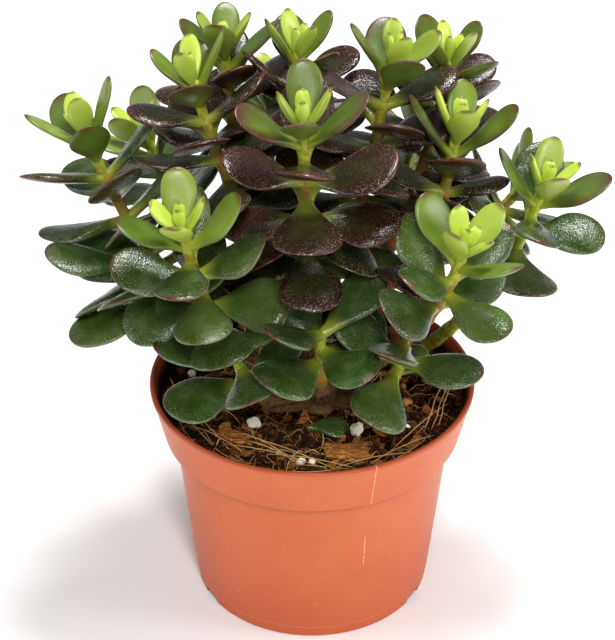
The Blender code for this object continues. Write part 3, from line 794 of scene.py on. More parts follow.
limb_ends = {
    "middle": Vector((0.001, -0.004, 0.034)),
    "left": Vector((-0.026, -0.012, 0.025)),
    "right": Vector((0.027, -0.010, 0.026)),
    "back_left": Vector((-0.017, 0.022, 0.028)),
    "back_right": Vector((0.019, 0.023, 0.028)),
    "low_left": Vector((-0.015, -0.022, 0.012)),
    "low_middle": Vector((0.003, -0.022, 0.018)),
    "low_right": Vector((0.022, -0.021, 0.013)),
    "cutting": Vector((0.043, 0.026, SOIL_SWELL + STEM_RADIUS * 0.6 + REST_GAP)),
}
# Each shoot: limb, head (x, y, height over the soil), turn of its first leaf pair, that pair's age, pairs, size
SHOOTS = {
    "crown_left": ("middle", (-0.041, 0.010, 0.125), 0, 0, 10, 1.00),
    "crown_back_left": ("back_left", (-0.031, 0.032, 0.127), 90, 0, 9, 0.95),
    "crown_back": ("back_left", (-0.005, 0.028, 0.127), 30, 0, 9, 0.95),
    "crown_right": ("middle", (0.027, 0.012, 0.131), 10, 0, 10, 1.05),
    "crown_back_right": ("back_right", (0.049, 0.032, 0.122), 40, 0, 9, 0.95),
    "front_middle": ("middle", (-0.003, -0.026, 0.127), 90, 0, 11, 1.05),
    "front_right": ("right", (0.050, 0.002, 0.110), 90, 0, 9, 1.05),
    "far_right": ("cutting", (0.081, 0.000, 0.089), 90, 0, 7, 1.00),
    "low_right": ("right", (0.051, -0.038, 0.086), 40, 0, 7, 1.00),
    "far_left": ("left", (-0.079, 0.010, 0.104), 15, 0, 9, 1.10),
    "low_left": ("left", (-0.043, -0.038, 0.094), 90, 0, 10, 1.00),
    "back_far_left": ("back_left", (-0.062, 0.050, 0.082), 70, 0, 7, 1.00),
    "back_middle": ("back_left", (-0.016, 0.070, 0.090), 20, 0, 7, 1.00),
    "back_far_right": ("back_right", (0.040, 0.066, 0.078), 55, 0, 7, 1.00),
    "side_right": ("back_right", (0.080, 0.036, 0.072), 10, 0, 6, 1.00),
    "side_left": ("left", (-0.061, -0.016, 0.068), 8, 4, 3, 1.15),
    "base_left": ("low_left", (-0.027, -0.034, 0.041), 20, 4, 3, 1.00),
    "base_middle": ("low_middle", (0.003, -0.036, 0.051), 40, 4, 4, 1.00),
    "base_right": ("low_right", (0.033, -0.032, 0.043), 70, 4, 3, 1.00),
    "base_back": ("back_left", (-0.004, 0.045, 0.047), 60, 5, 3, 0.90),
}


def shoot_axis(limb, head):
    """The bent line of a shoot: it leaves the limb outwards and ends nearly upright."""
    start = Vector((limb.x, limb.y, soil_top + limb.z))
    end = Vector((head[0], head[1], soil_top + head[2]))
    bend = start.lerp(end, 0.72)
    bend.z = start.z + 0.42 * (end.z - start.z)
    points = []
    for step in range(41):
        share = step / 40
        points.append(start * (1 - share) ** 2 + bend * 2 * share * (1 - share) + end * share ** 2)
    return points


def along(points, distance):
    """The point and direction at a distance from the start of a line."""
    for first, second in zip(points, points[1:]):
        step = (second - first).length
        if distance <= step:
            return first.lerp(second, distance / step), (second - first).normalized()
        distance -= step
    return points[-1].copy(), (points[-1] - points[-2]).normalized()


axes = {name: shoot_axis(limb_ends[row[0]], row[1]) for name, row in SHOOTS.items()}
lengths = {name: sum((b - a).length for a, b in zip(points, points[1:])) for name, points in axes.items()}


def bark_length(name):
    """How far the bark runs up a shoot: to where it stands clear of every other shoot."""
    if SHOOTS[name][0] == "cutting":
        return 0.0
    clear_from = 0.006
    distance = 0.0
    while distance < lengths[name]:
        here = along(axes[name], distance)[0]
        for other, points in axes.items():
            if other != name and min((here - point).length for point in points) < STEM_RADIUS * 2.2 + GAP * 2:
                clear_from = max(clear_from, distance + 0.001)
        distance += 0.001
    return clear_from


bark_ends = {name: bark_length(name) for name in SHOOTS}

trunk_head = TRUNK_FOOT + Vector((-0.001, 0.002, 0.020))
trunk_root = TRUNK_FOOT - Vector((0.0, 0.0, ROOT_DEPTH - 0.0003))
wood_lines = [(
    [trunk_root, TRUNK_FOOT - Vector((0, 0, 0.002)), TRUNK_FOOT + Vector((0, 0, 0.004)), trunk_head],
    [TRUNK_RADIUS, TRUNK_RADIUS, TRUNK_RADIUS * 0.97, TRUNK_RADIUS * 0.85],
)]
for limb, end in limb_ends.items():
    if limb == "cutting":
        continue
    near = TRUNK_FOOT.lerp(trunk_head, 0.35)
    far = Vector((end.x, end.y, soil_top + end.z))
    middle = near.lerp(far, 0.5) + Vector((0, 0, -0.002))
    wood_lines.append(([near, middle, far], [LIMB_RADIUS * 1.15, LIMB_RADIUS, LIMB_RADIUS * 0.9]))
for name, points in axes.items():
    if bark_ends[name] == 0.0:
        continue
    steps = max(3, int(bark_ends[name] / 0.004))
    line = [along(points, bark_ends[name] * step / steps)[0] for step in range(steps + 1)]
    wood_lines.append((line, [LIMB_RADIUS * 0.85 + (STEM_RADIUS - LIMB_RADIUS * 0.85) * step / steps
                              for step in range(steps + 1)]))
wood_curve = bpy.data.curves.new("wood", "CURVE")
wood_curve.dimensions = "3D"
wood_curve.bevel_depth = 1.0
wood_curve.bevel_resolution = 5
wood_curve.use_fill_caps = True
for line, radii in wood_lines:
    spline = wood_curve.splines.new("POLY")
    spline.points.add(len(line) - 1)
    for spot, point, radius in zip(spline.points, line, radii):
        spot.co = (*point, 1.0)
        spot.radius = radius
wood = placed("wood_blank", applied_mesh(placed("wood_blank", wood_curve)))
grow = wood.modifiers.new("grow", "REMESH")
grow.mode = "VOXEL"
grow.voxel_size = BARK_VOXEL
ease = wood.modifiers.new("ease", "SMOOTH")
ease.factor = 0.7
ease.iterations = 14
wood_mesh = applied_mesh(wood)

# Bark cracks run along the wood, so a point is read by its turn round the nearest line and its way along it
line_starts = []
line_ends = []
line_reach = []
for line, radii in wood_lines:
    gone = 0.0
    for first, second in zip(line, line[1:]):
        line_starts.append(first)
        line_ends.append(second)
        line_reach.append(gone + len(line_reach) * 0.01)
        gone += (second - first).length
line_starts = np.array(line_starts)
line_ends = np.array(line_ends)
line_ways = line_ends - line_starts
line_lengths = np.linalg.norm(line_ways, axis=1)
line_ways = line_ways / line_lengths[:, None]
cracks = []
normals = [Vector(vert.normal) for vert in wood_mesh.vertices]
for vert, out in zip(wood_mesh.vertices, normals):
    away = np.array(vert.co) - line_starts
    reach = np.clip((away * line_ways).sum(axis=1), 0.0, line_lengths)
    from_line = away - line_ways * reach[:, None]
    nearest = int(np.argmin((from_line ** 2).sum(axis=1)))
    way = Vector(line_ways[nearest])
    flat = out - way * out.dot(way)
    flat.normalize()
    walked = reach[nearest] + line_reach[nearest]
    across = Vector((flat.x * 2.4, flat.y * 2.4, flat.z * 2.4)) + Vector((0, 0, walked * 55.0))
    crack = noise.noise(across) + 0.6 * noise.noise(across * 2.3 + Vector((3, 1, 4)))
    crack = max(0.0, 0.42 - abs(crack) * 1.6) / 0.42
    ring = noise.noise(Vector((walked * 700.0, flat.x * 0.8, flat.y * 0.8)))
    ring = max(0.0, ring - 0.15)
    lump = noise.noise(vert.co * 260.0)
    vert.co += out * (0.00035 * lump + 0.00028 * ring - 0.00050 * crack ** 1.5)
    cracks.append(min(1.0, 0.75 * crack + 0.8 * ring))
mark(wood_mesh, "crack", cracks)
wood_mesh.shade_smooth()

bark, tree, shader = new_material("bark")
patches = patches_of(tree, 320.0, 0.35, 0.65, 0.65)
base = blend_colour(tree, patches, BARK_BROWN, BARK_LIGHT)
base = tint(tree, base, patches_of(tree, 1100.0, 0.50, 0.62, 0.7), 0.30, BARK_FLAKE)
cracked = fade(tree, marked(tree, "crack"), 0.15, 0.8, 0.0, 0.85)
plug(tree, shader, {
    "Base Color": blend_colour(tree, cracked, base, BARK_CRACK),
    "Roughness": fade(tree, patches, 0.0, 1.0, 0.70, 0.92),
    "Normal": relief(tree, grain(tree, 1.0, 5.0, 0.7, drawn=(1500.0, 1500.0, 450.0)), 0.8, 0.0007),
})
show("woody_base", wood_mesh, bark, "bark", "trunk")

# ---------------------------------------------------------------------------
# The stems. Each shoot is a smooth fleshy tube that swells at every leaf pair,
# brown and corky at its foot and yellow-green where it is still growing.
NODE_DROP = (0.0004, 0.0020, 0.0045, 0.0090, 0.0155, 0.0225, 0.0305, 0.0395, 0.0495, 0.0605, 0.0725)
BUD = 0.0016
LOWEST_MARGIN = 0.0045
SHORTEST_STEM = 0.0030
STEM_SIDES = 20
STEM_STEP = 0.0007
BARK_GAP_SHARE = 0.12
BARK_OVERLAP = 0.0015
SCAR_SPACING = 0.0085
CUTTING_YOUTH = 0.15
GROWING_GREEN = (0.380, 0.460, 0.030)
OLDER_GREEN = (0.210, 0.200, 0.014)
CORKY_BROWN = (0.150, 0.070, 0.010)
SCAR_BROWN = (0.045, 0.020, 0.008)
JOINT_RED = (0.420, 0.095, 0.012)
CORK_FLECK = (0.36, 0.30, 0.16)


def drop(name, age):
    """How far below the head of a shoot the leaf pair of an age grows."""
    return (NODE_DROP[age] - NODE_DROP[SHOOTS[name][3]]) * SHOOTS[name][5] + BUD


grown_ages = {}
for name, (limb, head, turn, youngest, pairs, size) in SHOOTS.items():
    ages = list(range(youngest, youngest + pairs))
    start = bark_ends[name] + STEM_RADIUS * BARK_GAP_SHARE
    while len(ages) > 1 and lengths[name] - drop(name, ages[-1]) - LOWEST_MARGIN < start + SHORTEST_STEM:
        ages.pop()
    grown_ages[name] = ages

green_stem, tree, shader = new_material("green_stem")
far = marked(tree, "from_tip")
uneven = reckon(tree, "ADD", far, times(tree, patches_of(tree, 420.0, 0.35, 0.65, 0.6), 0.016))
base = blend_colour(tree, fade(tree, uneven, 0.010, 0.030), GROWING_GREEN, OLDER_GREEN)
base = blend_colour(tree, fade(tree, uneven, 0.026, 0.056), base, CORKY_BROWN)
base = blend_colour(tree, fade(tree, uneven, 0.055, 0.085), base, BARK_BROWN)
base = tint(tree, base, marked(tree, "scar"), 0.65, SCAR_BROWN)
base = tint(tree, base, marked(tree, "joint"), fade(tree, uneven, 0.016, 0.036, 0.0, 0.80), JOINT_RED)
plug(tree, shader, {
    "Base Color": tint(tree, base, dots_of(tree, 1500.0, 0.30, 0.25), 0.35, CORK_FLECK),
    "Roughness": fade(tree, far, 0.0, 0.06, 0.42, 0.75),
    "Normal": relief(tree, grain(tree, 1400.0, 4.0), 0.35, 0.0005),
    "Subsurface Weight": 0.12,
    "Subsurface Radius": (0.0025, 0.0020, 0.0006),
})

for name, (limb_name, *_) in SHOOTS.items():
    total = lengths[name]
    begin = bark_ends[name] - BARK_OVERLAP if bark_ends[name] else 0.0
    youth = CUTTING_YOUTH if limb_name == "cutting" else 1.0
    count = max(12, int((total - begin) / STEM_STEP))
    nodes_at = [total - drop(name, age) for age in grown_ages[name]]
    lowest_leaf = nodes_at[-1]
    older = lowest_leaf
    while older > begin + 0.008:
        older -= SCAR_SPACING
        nodes_at.append(older)
    points = []
    tip_distance = []
    scar = []
    joint = []
    for step in range(count + 1):
        distance = begin + (total - begin) * step / count
        here, way = along(axes[name], max(0.0, distance))
        side = Vector((1, 0, 0)) - way * way.x
        side.normalize()
        over = way.cross(side)
        share = distance / total
        radius = STEM_RADIUS + (TIP_RADIUS - STEM_RADIUS) * max(0.0, share - 0.3) / 0.7
        near = min(abs(distance - spot) for spot in nodes_at)
        radius *= 1.0 + 0.16 * math.exp(-(near / 0.0016) ** 2)
        radius *= 0.35 + 0.65 * min(1.0, max(0.0, total - distance) / 0.0015) ** 0.5
        ring = math.exp(-(near / 0.00045) ** 2) if distance < lowest_leaf - 0.002 else 0.0
        for corner in range(STEM_SIDES):
            angle = math.tau * corner / STEM_SIDES
            around = Vector((math.cos(angle), math.sin(angle), 0.0))
            lump = 1.0 + 0.06 * noise.noise(here * 420.0 + around * 0.8)
            points.append(here + (side * math.cos(angle) + over * math.sin(angle)) * radius * lump)
            tip_distance.append((total - distance) * youth)
            scar.append(ring)
            joint.append(math.exp(-(near / 0.0020) ** 2))
    stem_mesh = bpy.data.meshes.new("stem_" + name)
    stem_mesh.from_pydata([tuple(point) for point in points], [], tube_faces(count + 1, STEM_SIDES))
    mark(stem_mesh, "from_tip", tip_distance)
    mark(stem_mesh, "scar", scar)
    mark(stem_mesh, "joint", joint)
    stem_mesh.shade_smooth()
    # A low sprout has no node for its stem, which is part of its leaves' node
    node = "shoot_" + name + "_stem"
    show("stem_" + name, stem_mesh, green_stem, "green_stem", *([node] if node in frame["nodes"] else []))

# ---------------------------------------------------------------------------
# The leaves. Thick spoons full of water, joined in opposite pairs, each pair a
# quarter turn from the last: yellow-green and small at the head, dark below.
LEAF_THICKNESS = 0.0036
LEAF_LENGTH = (0.0115, 0.0180, 0.0235, 0.0275, 0.0290, 0.0300, 0.0305, 0.0310, 0.0315, 0.0315, 0.0315)
LEAF_RATIO = (0.44, 0.44, 0.48, 0.52, 0.60, 0.66, 0.69, 0.71, 0.71, 0.70, 0.66)
LEAF_TILT = (20, 34, 45, 56, 67, 75, 80, 84, 88, 94, 100)
YOUNG_AGES = 4
SUNLIT_HEIGHT = 0.105
LEAF_CUP = (0.08, 0.08, 0.07, 0.05, 0.02, -0.02, -0.05, -0.07, -0.07, -0.07, -0.07)
LEAF_LONG_STEPS = 30
LEAF_ROUND_STEPS = 32
STRAIGHT_CURL = 0.001
FOUND_TIP = 0.00004
FRESH_DEEP = (0.370, 0.500, 0.030)
FRESH_LIGHT = (0.580, 0.700, 0.110)
FRESH_BASE = (0.580, 0.600, 0.070)
OLD_OLIVE = (0.080, 0.130, 0.010)
FOOT_YELLOW = (0.330, 0.360, 0.030)
SHADED_RIM = (0.150, 0.165, 0.085)
SUNLIT_RIM = (0.080, 0.018, 0.010)
TIP_RED = (0.080, 0.012, 0.006)
WAX_GREY = (0.260, 0.280, 0.190)
PALE_DOT = (0.480, 0.470, 0.380)

# Ways for a crowded leaf to find room, the least change first, as the CAD tries them
trials = []
for size in (1.0, 0.9, 0.8, 0.7, 0.6, 0.5, 0.4):
    for tilt_change in (0, -9, 9, -18, 18, -27):
        for turn_change in (0, 10, -10, 20, -20, 30, -30):
            cost = (1 - size) * 90 + abs(tilt_change) + abs(turn_change) * 0.7
            trials.append((cost, size, tilt_change, turn_change))
trials.sort()


def leaf_frame(spot, direction, azimuth, tilt):
    """Where a leaf sits: its base on the stem, its length at a tilt from the stem."""
    side = Vector((1, 0, 0)) - direction * direction.x
    side.normalize()
    cross = direction.cross(side)
    out = side * math.cos(azimuth) + cross * math.sin(azimuth)
    forward = direction * math.cos(tilt) + out * math.sin(tilt)
    upper = direction * math.sin(tilt) - out * math.cos(tilt)
    sideways = upper.cross(forward)
    return Matrix((
        (forward.x, sideways.x, upper.x, spot.x),
        (forward.y, sideways.y, upper.y, spot.y),
        (forward.z, sideways.z, upper.z, spot.z),
        (0, 0, 0, 1),
    ))


def leaf_tip(length, curl):
    """The far end of a leaf that bends evenly by the curl over its length."""
    if abs(curl) < STRAIGHT_CURL:
        return Vector((length, 0.0, 0.0))
    return Vector((length * math.sin(curl) / curl, 0.0, length * (1 - math.cos(curl)) / curl))


along_steps = np.linspace(0.0, 1.0, LEAF_LONG_STEPS + 1)
along_steps = 0.5 - 0.5 * np.cos(np.pi * along_steps)
round_steps = np.arange(LEAF_ROUND_STEPS) / LEAF_ROUND_STEPS * math.tau


def leaf_shape(length, width, thick, curl, cup, seed):
    """A fine leaf along X with its upper side to +Z, and how far along, across and up each point lies."""
    rough = random.Random(seed)
    u = along_steps[:, None]
    v = round_steps[None, :]
    fullest = 0.63 + 0.04 * rough.uniform(-1, 1)
    stalk = 0.20 + 0.04 * rough.uniform(0, 1)
    rise = np.clip(u / fullest, 0, 1)
    fall = np.clip((u - fullest) / (1 - fullest), 0, 1)
    swell = stalk + (1 - stalk) * (rise * rise * (3 - 2 * rise)) ** 1.10
    tip = (1 - fall ** 2.3) ** 0.52
    start = np.clip(u / 0.03, 0, 1) ** 0.5
    outline = swell * tip * np.where(u < 0.03, 0.75 + 0.25 * start, 1.0)
    half = width / 2 * outline
    wave = 1 + 0.030 * np.sin(u * 9 + rough.uniform(0, 6)) * np.sign(np.cos(v))
    across = half * np.cos(v) * wave
    depth = thick / 2 * np.minimum(1.0, (1 - fall ** 3.0) ** 0.55) * (1.12 - 0.30 * u)
    depth = depth * np.where(u < 0.05, 0.8 + 0.2 * (u / 0.05), 1.0)
    upper_side = np.sin(v) > 0
    fat = np.abs(np.sin(v)) ** np.where(upper_side, 0.90, 0.85)
    height = np.where(upper_side, 1.15 * fat, -0.90 * fat) * depth
    reach = across / (width / 2)
    height = height + cup * reach ** 2 * width / 2
    # A shallow trough runs down the middle of the upper side, deepest near the base
    trough = np.exp(-(reach / 0.28) ** 2) * np.where(upper_side, 1.0, 0.25)
    trough = trough * (1 - u) ** 1.2 * np.clip(u * 8, 0, 1)
    height = height - 0.16 * thick * trough * np.abs(np.sin(v))
    twist = 0.22 * rough.uniform(-1, 1) * u
    bow = 0.05 * rough.uniform(-1, 1) * width * np.sin(np.pi * u)
    dents = 0.020 * width * (np.sin(u * 5 + rough.uniform(0, 6)) * np.cos(2 * v + rough.uniform(0, 6)))
    height = height + dents * np.clip(u * 3, 0, 1) * (1 - fall ** 4)
    across_turned = across * np.cos(twist) - height * np.sin(twist) + bow
    height_turned = across * np.sin(twist) + height * np.cos(twist)
    turn = curl * u
    if abs(curl) < STRAIGHT_CURL:
        forward, lift = length * u, 0.0 * u
    else:
        forward, lift = length * np.sin(turn) / curl, length * (1 - np.cos(turn)) / curl
    x = forward - height_turned * np.sin(turn)
    z = lift + height_turned * np.cos(turn)
    points = np.stack([x, across_turned, z], axis=-1).reshape(-1, 3)
    marks = {
        "along": np.broadcast_to(u, x.shape).reshape(-1),
        "across": np.broadcast_to(np.cos(v), x.shape).reshape(-1),
        "upper": np.broadcast_to(np.sin(v), x.shape).reshape(-1),
    }
    return points, marks


def leaf_faces():
    sides = LEAF_ROUND_STEPS
    faces = []
    for i in range(LEAF_LONG_STEPS):
        for j in range(sides):
            a, b = i * sides + j, i * sides + (j + 1) % sides
            faces.append((a, a + sides, b + sides, b))
    faces.append(tuple(range(sides)))
    faces.append(tuple(LEAF_LONG_STEPS * sides + j for j in range(sides))[::-1])
    return faces


LEAF_FACES = leaf_faces()


class Foliage:
    """Leaves gathered into one mesh, with the marks that their colours are drawn from."""

    def __init__(self):
        self.points = []
        self.marks = {label: [] for label in ("along", "across", "upper", "age", "lot", "sun")}

    def add(self, seat, shape, age, lot, sun):
        points, marks = shape
        self.points.append(points @ np.array(seat.to_3x3()).T + np.array(seat.translation))
        for label, value in (("age", float(age)), ("lot", lot), ("sun", sun)):
            self.marks[label].append(np.full(len(points), value))
        for label, values in marks.items():
            self.marks[label].append(values)

    def mesh(self, name):
        mesh = bpy.data.meshes.new(name)
        per_leaf = (LEAF_LONG_STEPS + 1) * LEAF_ROUND_STEPS
        faces = []
        for leaf in range(len(self.points)):
            faces.extend(tuple(index + per_leaf * leaf for index in face) for face in LEAF_FACES)
        mesh.from_pydata(np.concatenate(self.points).tolist(), [], faces)
        for label, values in self.marks.items():
            mark(mesh, label, np.concatenate(values).astype(np.float32))
        mesh.shade_smooth()
        return mesh


# Bloom: the thin powdery wax on a leaf, patchy, and thickest where nothing has rubbed it away
bloom, given, result = new_group("Bloom", {"Amount": 0.4, "Along": 0.5}, ["Wax"])
broad = fade(bloom, grain(bloom, 150.0, 3.0, 0.6), 0.32, 0.80)
fine = fade(bloom, grain(bloom, 1400.0, 3.0, 0.7), 0.25, 0.70, 0.55, 1.0)
patchy = times(bloom, times(bloom, broad, fine), fade(bloom, given["Along"], 0.10, 0.45))
bloom.links.new(times(bloom, patchy, given["Amount"], clamp=True), result["Wax"])

# Margin: a mask for the rim of a leaf, read from how far across and along it a point lies
margin, given, result = new_group("Margin", {"Across": 0.0, "Along": 0.5, "Width": 0.06}, ["Rim", "Tip"])
uneven = grain(margin, 240.0, 3.0)
edge = reckon(margin, "SUBTRACT", 1.0, reckon(margin, "ABSOLUTE", given["Across"]))
wide = times(margin, given["Width"], reckon(margin, "ADD", times(margin, uneven, 1.6), 0.2))
rim = put(margin, "ShaderNodeMapRange", {
    "Value": edge, "From Min": 0.0, "From Max": wide, "To Min": 1.0, "To Max": 0.0,
})
rim = times(margin, rim.outputs["Result"], fade(margin, given["Along"], 0.25, 0.60))
tip = reckon(margin, "ADD", given["Along"], times(margin, uneven, 0.05))
margin.links.new(rim, result["Rim"])
margin.links.new(fade(margin, tip, 0.935, 1.02), result["Tip"])


def leaf_colour(tree, green_light, green_dark, purple, wax_amount, speck_share):
    """Leaf flesh by age and sun: yellow-green at first, then dark green that the sun burns purple."""
    down, up = marked(tree, "along"), marked(tree, "upper")
    side = reckon(tree, "ABSOLUTE", marked(tree, "across"))
    lot, sun = marked(tree, "lot"), marked(tree, "sun")
    patches = patches_of(tree, 75.0, 0.20, 0.80)
    old = blend_colour(tree, patches, green_dark, green_light)
    old = blend_colour(tree, fade(tree, lot, 0.60, 1.0, 0.0, 0.50), old, OLD_OLIVE)
    fresh = blend_colour(tree, patches, FRESH_DEEP, FRESH_LIGHT)
    fresh = blend_colour(tree, fade(tree, down, 0.0, 0.30, 0.70, 0.0), fresh, FRESH_BASE)
    years = reckon(tree, "ADD", marked(tree, "age"), times(tree, lot, 1.1))
    years = reckon(tree, "ADD", years, times(tree, sun, 0.9))
    base = blend_colour(tree, fade(tree, years, 1.8, 3.9), fresh, old)
    # Purple comes with sun and years, from the rim and the far end inwards, and leaves the middle green
    blush = patches_of(tree, 100.0, 0.25, 0.75)
    share = reckon(tree, "ADD", times(tree, sun, 2.1), times(tree, blush, 0.9))
    share = reckon(tree, "SUBTRACT", share, 1.05)
    share = times(tree, share, fade(tree, years, 4.4, 6.2, 0.02, 1.0), clamp=True)
    outer = reckon(tree, "MAXIMUM", fade(tree, side, 0.45, 0.98), fade(tree, down, 0.66, 1.0))
    outer = times(tree, outer, times(tree, fade(tree, years, 2.6, 5.4), fade(tree, sun, 0.05, 0.55)))
    share = times(tree, reckon(tree, "ADD", share, outer), fade(tree, down, 0.12, 0.50), clamp=True)
    base = tint(tree, base, share, 0.93, purple)
    foot = fade(tree, down, 0.02, 0.36, 1.0, 0.0)
    base = tint(tree, base, foot, fade(tree, years, 5.0, 12.0, 0.85, 0.12), FOOT_YELLOW)
    edges = use_group(tree, margin, Across=marked(tree, "across"), Along=down, Width=0.045)
    rim = blend_colour(tree, fade(tree, sun, 0.15, 0.45), SHADED_RIM, SUNLIT_RIM)
    base = tint(tree, base, edges["Rim"], fade(tree, years, 0.8, 3.0, 0.20, 0.50), rim)
    base = tint(tree, base, edges["Tip"], fade(tree, years, 4.0, 7.0, 0.85, 0.25), TIP_RED)
    wax = use_group(tree, bloom, Amount=wax_amount, Along=down)["Wax"]
    base = tint(tree, base, wax, 0.55, WAX_GREY)
    # Pale dots of salt at the pores, on the upper side of older leaves and mostly near the rim
    rimward = reckon(tree, "MAXIMUM", fade(tree, side, 0.45, 0.95, 0.25, 1.0), fade(tree, down, 0.70, 0.95))
    worn = times(tree, patches_of(tree, 130.0, 0.30, 0.60), fade(tree, years, 3.0, 5.0))
    dots = dots_of(tree, 1800.0, 0.33, speck_share)
    dots = times(tree, dots, times(tree, rimward, fade(tree, up, -0.10, 0.10)))
    return tint(tree, base, times(tree, dots, worn), 0.75, PALE_DOT), wax


def leaf_material(name, colours, wax_amount, speck_share, roughness, pebbling, flesh, glow):
    """Satin skin pebbled with tiny water cells that break its highlights up, duller where the bloom lies."""
    material, tree, shader = new_material(name)
    base, wax = leaf_colour(tree, *colours, wax_amount, speck_share)
    cells = put(tree, "ShaderNodeTexVoronoi", {"Vector": object_place(tree), "Scale": 2000.0},
                feature="SMOOTH_F1")
    waves = times(tree, grain(tree, 230.0, 2.0), 0.55)
    height = reckon(tree, "ADD", times(tree, cells.outputs["Distance"], -0.26), waves)
    plug(tree, shader, {
        "Base Color": base,
        "Roughness": fade(tree, wax, 0.0, 0.25, *roughness),
        "Normal": relief(tree, height, pebbling, 0.0012),
        "Specular IOR Level": 0.44,
        "Subsurface Weight": flesh,
        "Subsurface Radius": glow,
    })
    return material


# Each leaf finish: light green, dark green and purple, wax, dots, roughness, pebbling, flesh and its glow
young_leaf = leaf_material(
    "young_leaf", ((0.095, 0.160, 0.010), (0.045, 0.090, 0.006), (0.060, 0.012, 0.008)),
    0.20, 0.12, (0.30, 0.46), 0.16, 0.22, (0.0040, 0.0045, 0.0008))
mature_leaf = leaf_material(
    "mature_leaf", ((0.036, 0.076, 0.006), (0.011, 0.032, 0.003), (0.032, 0.012, 0.005)),
    0.26, 0.75, (0.18, 0.38), 0.44, 0.06, (0.0020, 0.0025, 0.0006))
purple_leaf = leaf_material(
    "purple_leaf", ((0.022, 0.033, 0.004), (0.006, 0.012, 0.001), (0.025, 0.0050, 0.0035)),
    0.08, 0.75, (0.18, 0.36), 0.46, 0.06, (0.0026, 0.0014, 0.0006))

# Every leaf is grown where the CAD holds its solid: the same draws are made, and the trial whose tip is there
# is kept. A leaf that no trial finds had no room in the CAD either, and is left out
tips = {}
for node, holder in frame["nodes"].items():
    if node.startswith("shoot_"):
        lookup = kdtree.KDTree(len(holder.data.vertices))
        for index, vert in enumerate(holder.data.vertices):
            lookup.insert(vert.co, index)
        lookup.balance()
        tips[node] = lookup

chance = random.Random(7)
foliage = {}
for age in range(len(NODE_DROP)):
    for name, (limb, head, turn, youngest, pairs, size) in SHOOTS.items():
        if age not in grown_ages[name]:
            continue
        node = "shoot_" + name + ("_tip" if age < YOUNG_AGES else "_leaves")
        spot, direction = along(axes[name], lengths[name] - drop(name, age))
        for side in range(2):
            wobble = [chance.uniform(-1, 1) for _ in range(5)]
            length = LEAF_LENGTH[age] * size * (1 + 0.07 * wobble[0])
            ratio = LEAF_RATIO[age] * (1 + 0.06 * wobble[1])
            azimuth = math.radians(turn + 90 * (age - youngest) + 180 * side + 7 * wobble[2])
            tilt = math.radians(LEAF_TILT[age] + 6 * wobble[3])
            curl = (0.25 if age < 7 else -0.10) + 0.15 * wobble[4]
            thick = LEAF_THICKNESS * (0.75 if age < YOUNG_AGES else 1.0)
            for _, fit, tilt_change, turn_change in trials:
                seat = leaf_frame(
                    spot, direction, azimuth + math.radians(turn_change), tilt + math.radians(tilt_change))
                if tips[node].find(seat @ leaf_tip(length * fit, curl))[2] < FOUND_TIP:
                    break
            else:
                continue
            lot = (wobble[0] * 37.7 + wobble[2] * 11.3) % 1.0
            depth_share = (head[2] - NODE_DROP[age] - 0.045) / 0.080
            sun = 0.62 * depth_share + 0.22 * wobble[1] + (0.22 if head[2] > SUNLIT_HEIGHT else 0.0)
            long = length * fit
            shape = leaf_shape(long, long * ratio, thick, curl, LEAF_CUP[age], int(1000 * lot) + age)
            foliage.setdefault(node, Foliage()).add(seat, shape, age, lot, min(1.0, max(0.0, sun)))
for node, group in foliage.items():
    name = node[len("shoot_"):]
    if node.endswith("_tip"):
        show("leaves_" + name, group.mesh(name), young_leaf, "young_leaf", node)
    elif SHOOTS[name[:-len("_leaves")]][1][2] > SUNLIT_HEIGHT:
        show("sunlit_" + name, group.mesh(name), purple_leaf, "purple_leaf", node)
    else:
        show("shaded_" + name, group.mesh(name), mature_leaf, "mature_leaf", node)

# One old leaf has dropped off and lies on the soil
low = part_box("fallen_leaf")[0]
fallen = Foliage()
rest = Matrix.Translation((-0.002, -0.0265, low.z + 0.0024)) @ Matrix.Rotation(math.radians(8), 4, "Z")
fallen.add(rest, leaf_shape(0.0155, 0.0108, 0.0026, -0.1, LEAF_CUP[-1], 5), 14, 0.2, 0.1)
show("dropped_leaf", fallen.mesh("dropped_leaf"), mature_leaf, "mature_leaf", "fallen_leaf")

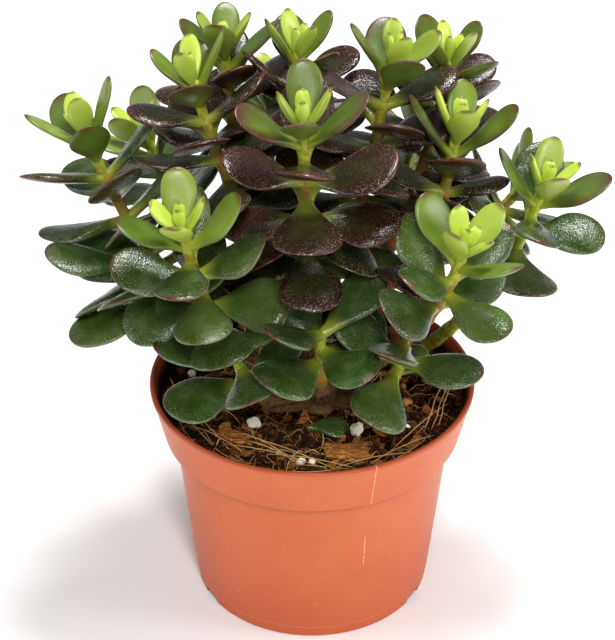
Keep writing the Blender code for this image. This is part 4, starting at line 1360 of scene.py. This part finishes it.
# ---------------------------------------------------------------------------
# The floor, light and camera. A pale plain floor under soft studio light from
# above and in front, seen from a little over the pot.
FLOOR_HALF = 4
FLOOR_PALE = (0.90, 0.90, 0.90, 1.0)
FLOOR_ROUGHNESS = 0.9
LIGHT_AIM = Vector((0.0, 0.0, 0.10))
WORLD_WHITE = (1.0, 1.0, 1.0, 1.0)
WORLD_STRENGTH = 0.24
CAMERA_RISE = 0.5784
CAMERA_REACH = 0.7543
CAMERA_SENSOR = 36.0
CAMERA_LENS = 116.84
CAMERA_SHIFT = -0.00737
AIM_HEIGHT = 0.112947

floor_mesh = bpy.data.meshes.new("floor")
floor_mesh.from_pydata([(-FLOOR_HALF, -FLOOR_HALF, 0), (FLOOR_HALF, -FLOOR_HALF, 0),
                        (FLOOR_HALF, FLOOR_HALF, 0), (-FLOOR_HALF, FLOOR_HALF, 0)], [], [(0, 1, 2, 3)])
floor = placed("floor", floor_mesh)
pale, tree, shader = new_material("pale_floor")
plug(tree, shader, {"Base Color": FLOOR_PALE, "Roughness": FLOOR_ROUGHNESS})
floor_mesh.materials.append(pale)

# Each soft light: where it stands, the width of its disc and its power in watts
for name, spot, size, power in (
    ("key", (0.08, -0.92, 1.05), 0.32, 9.5),
    ("front", (0.30, -1.25, 0.60), 0.25, 3.0),
    ("overhead", (0.15, 0.26, 1.35), 0.42, 19.0),
    ("right", (1.20, -0.30, 0.55), 0.50, 7.0),
    ("left", (-1.20, -0.30, 0.55), 0.50, 4.0),
):
    light = bpy.data.lights.new(name, "AREA")
    light.shape = "DISK"
    light.size = size
    light.energy = power
    lamp = placed(name, light)
    lamp.location = spot
    lamp.rotation_euler = (LIGHT_AIM - Vector(spot)).to_track_quat("-Z", "Y").to_euler()

world = bpy.data.worlds.new("studio")
world.use_nodes = True
plug(world.node_tree, world.node_tree.nodes["Background"], {"Color": WORLD_WHITE, "Strength": WORLD_STRENGTH})
bpy.context.scene.world = world
bpy.context.scene.view_settings.view_transform = "Standard"

camera = bpy.data.cameras.new("camera")
camera.sensor_width = CAMERA_SENSOR
camera.lens = CAMERA_LENS
camera.shift_x = CAMERA_SHIFT
eye = placed("camera", camera)
eye.location = (0.0, -CAMERA_REACH * math.cos(CAMERA_RISE), AIM_HEIGHT + CAMERA_REACH * math.sin(CAMERA_RISE))
eye.rotation_euler = (math.pi / 2 - CAMERA_RISE, 0.0, 0.0)
bpy.context.scene.camera = eye
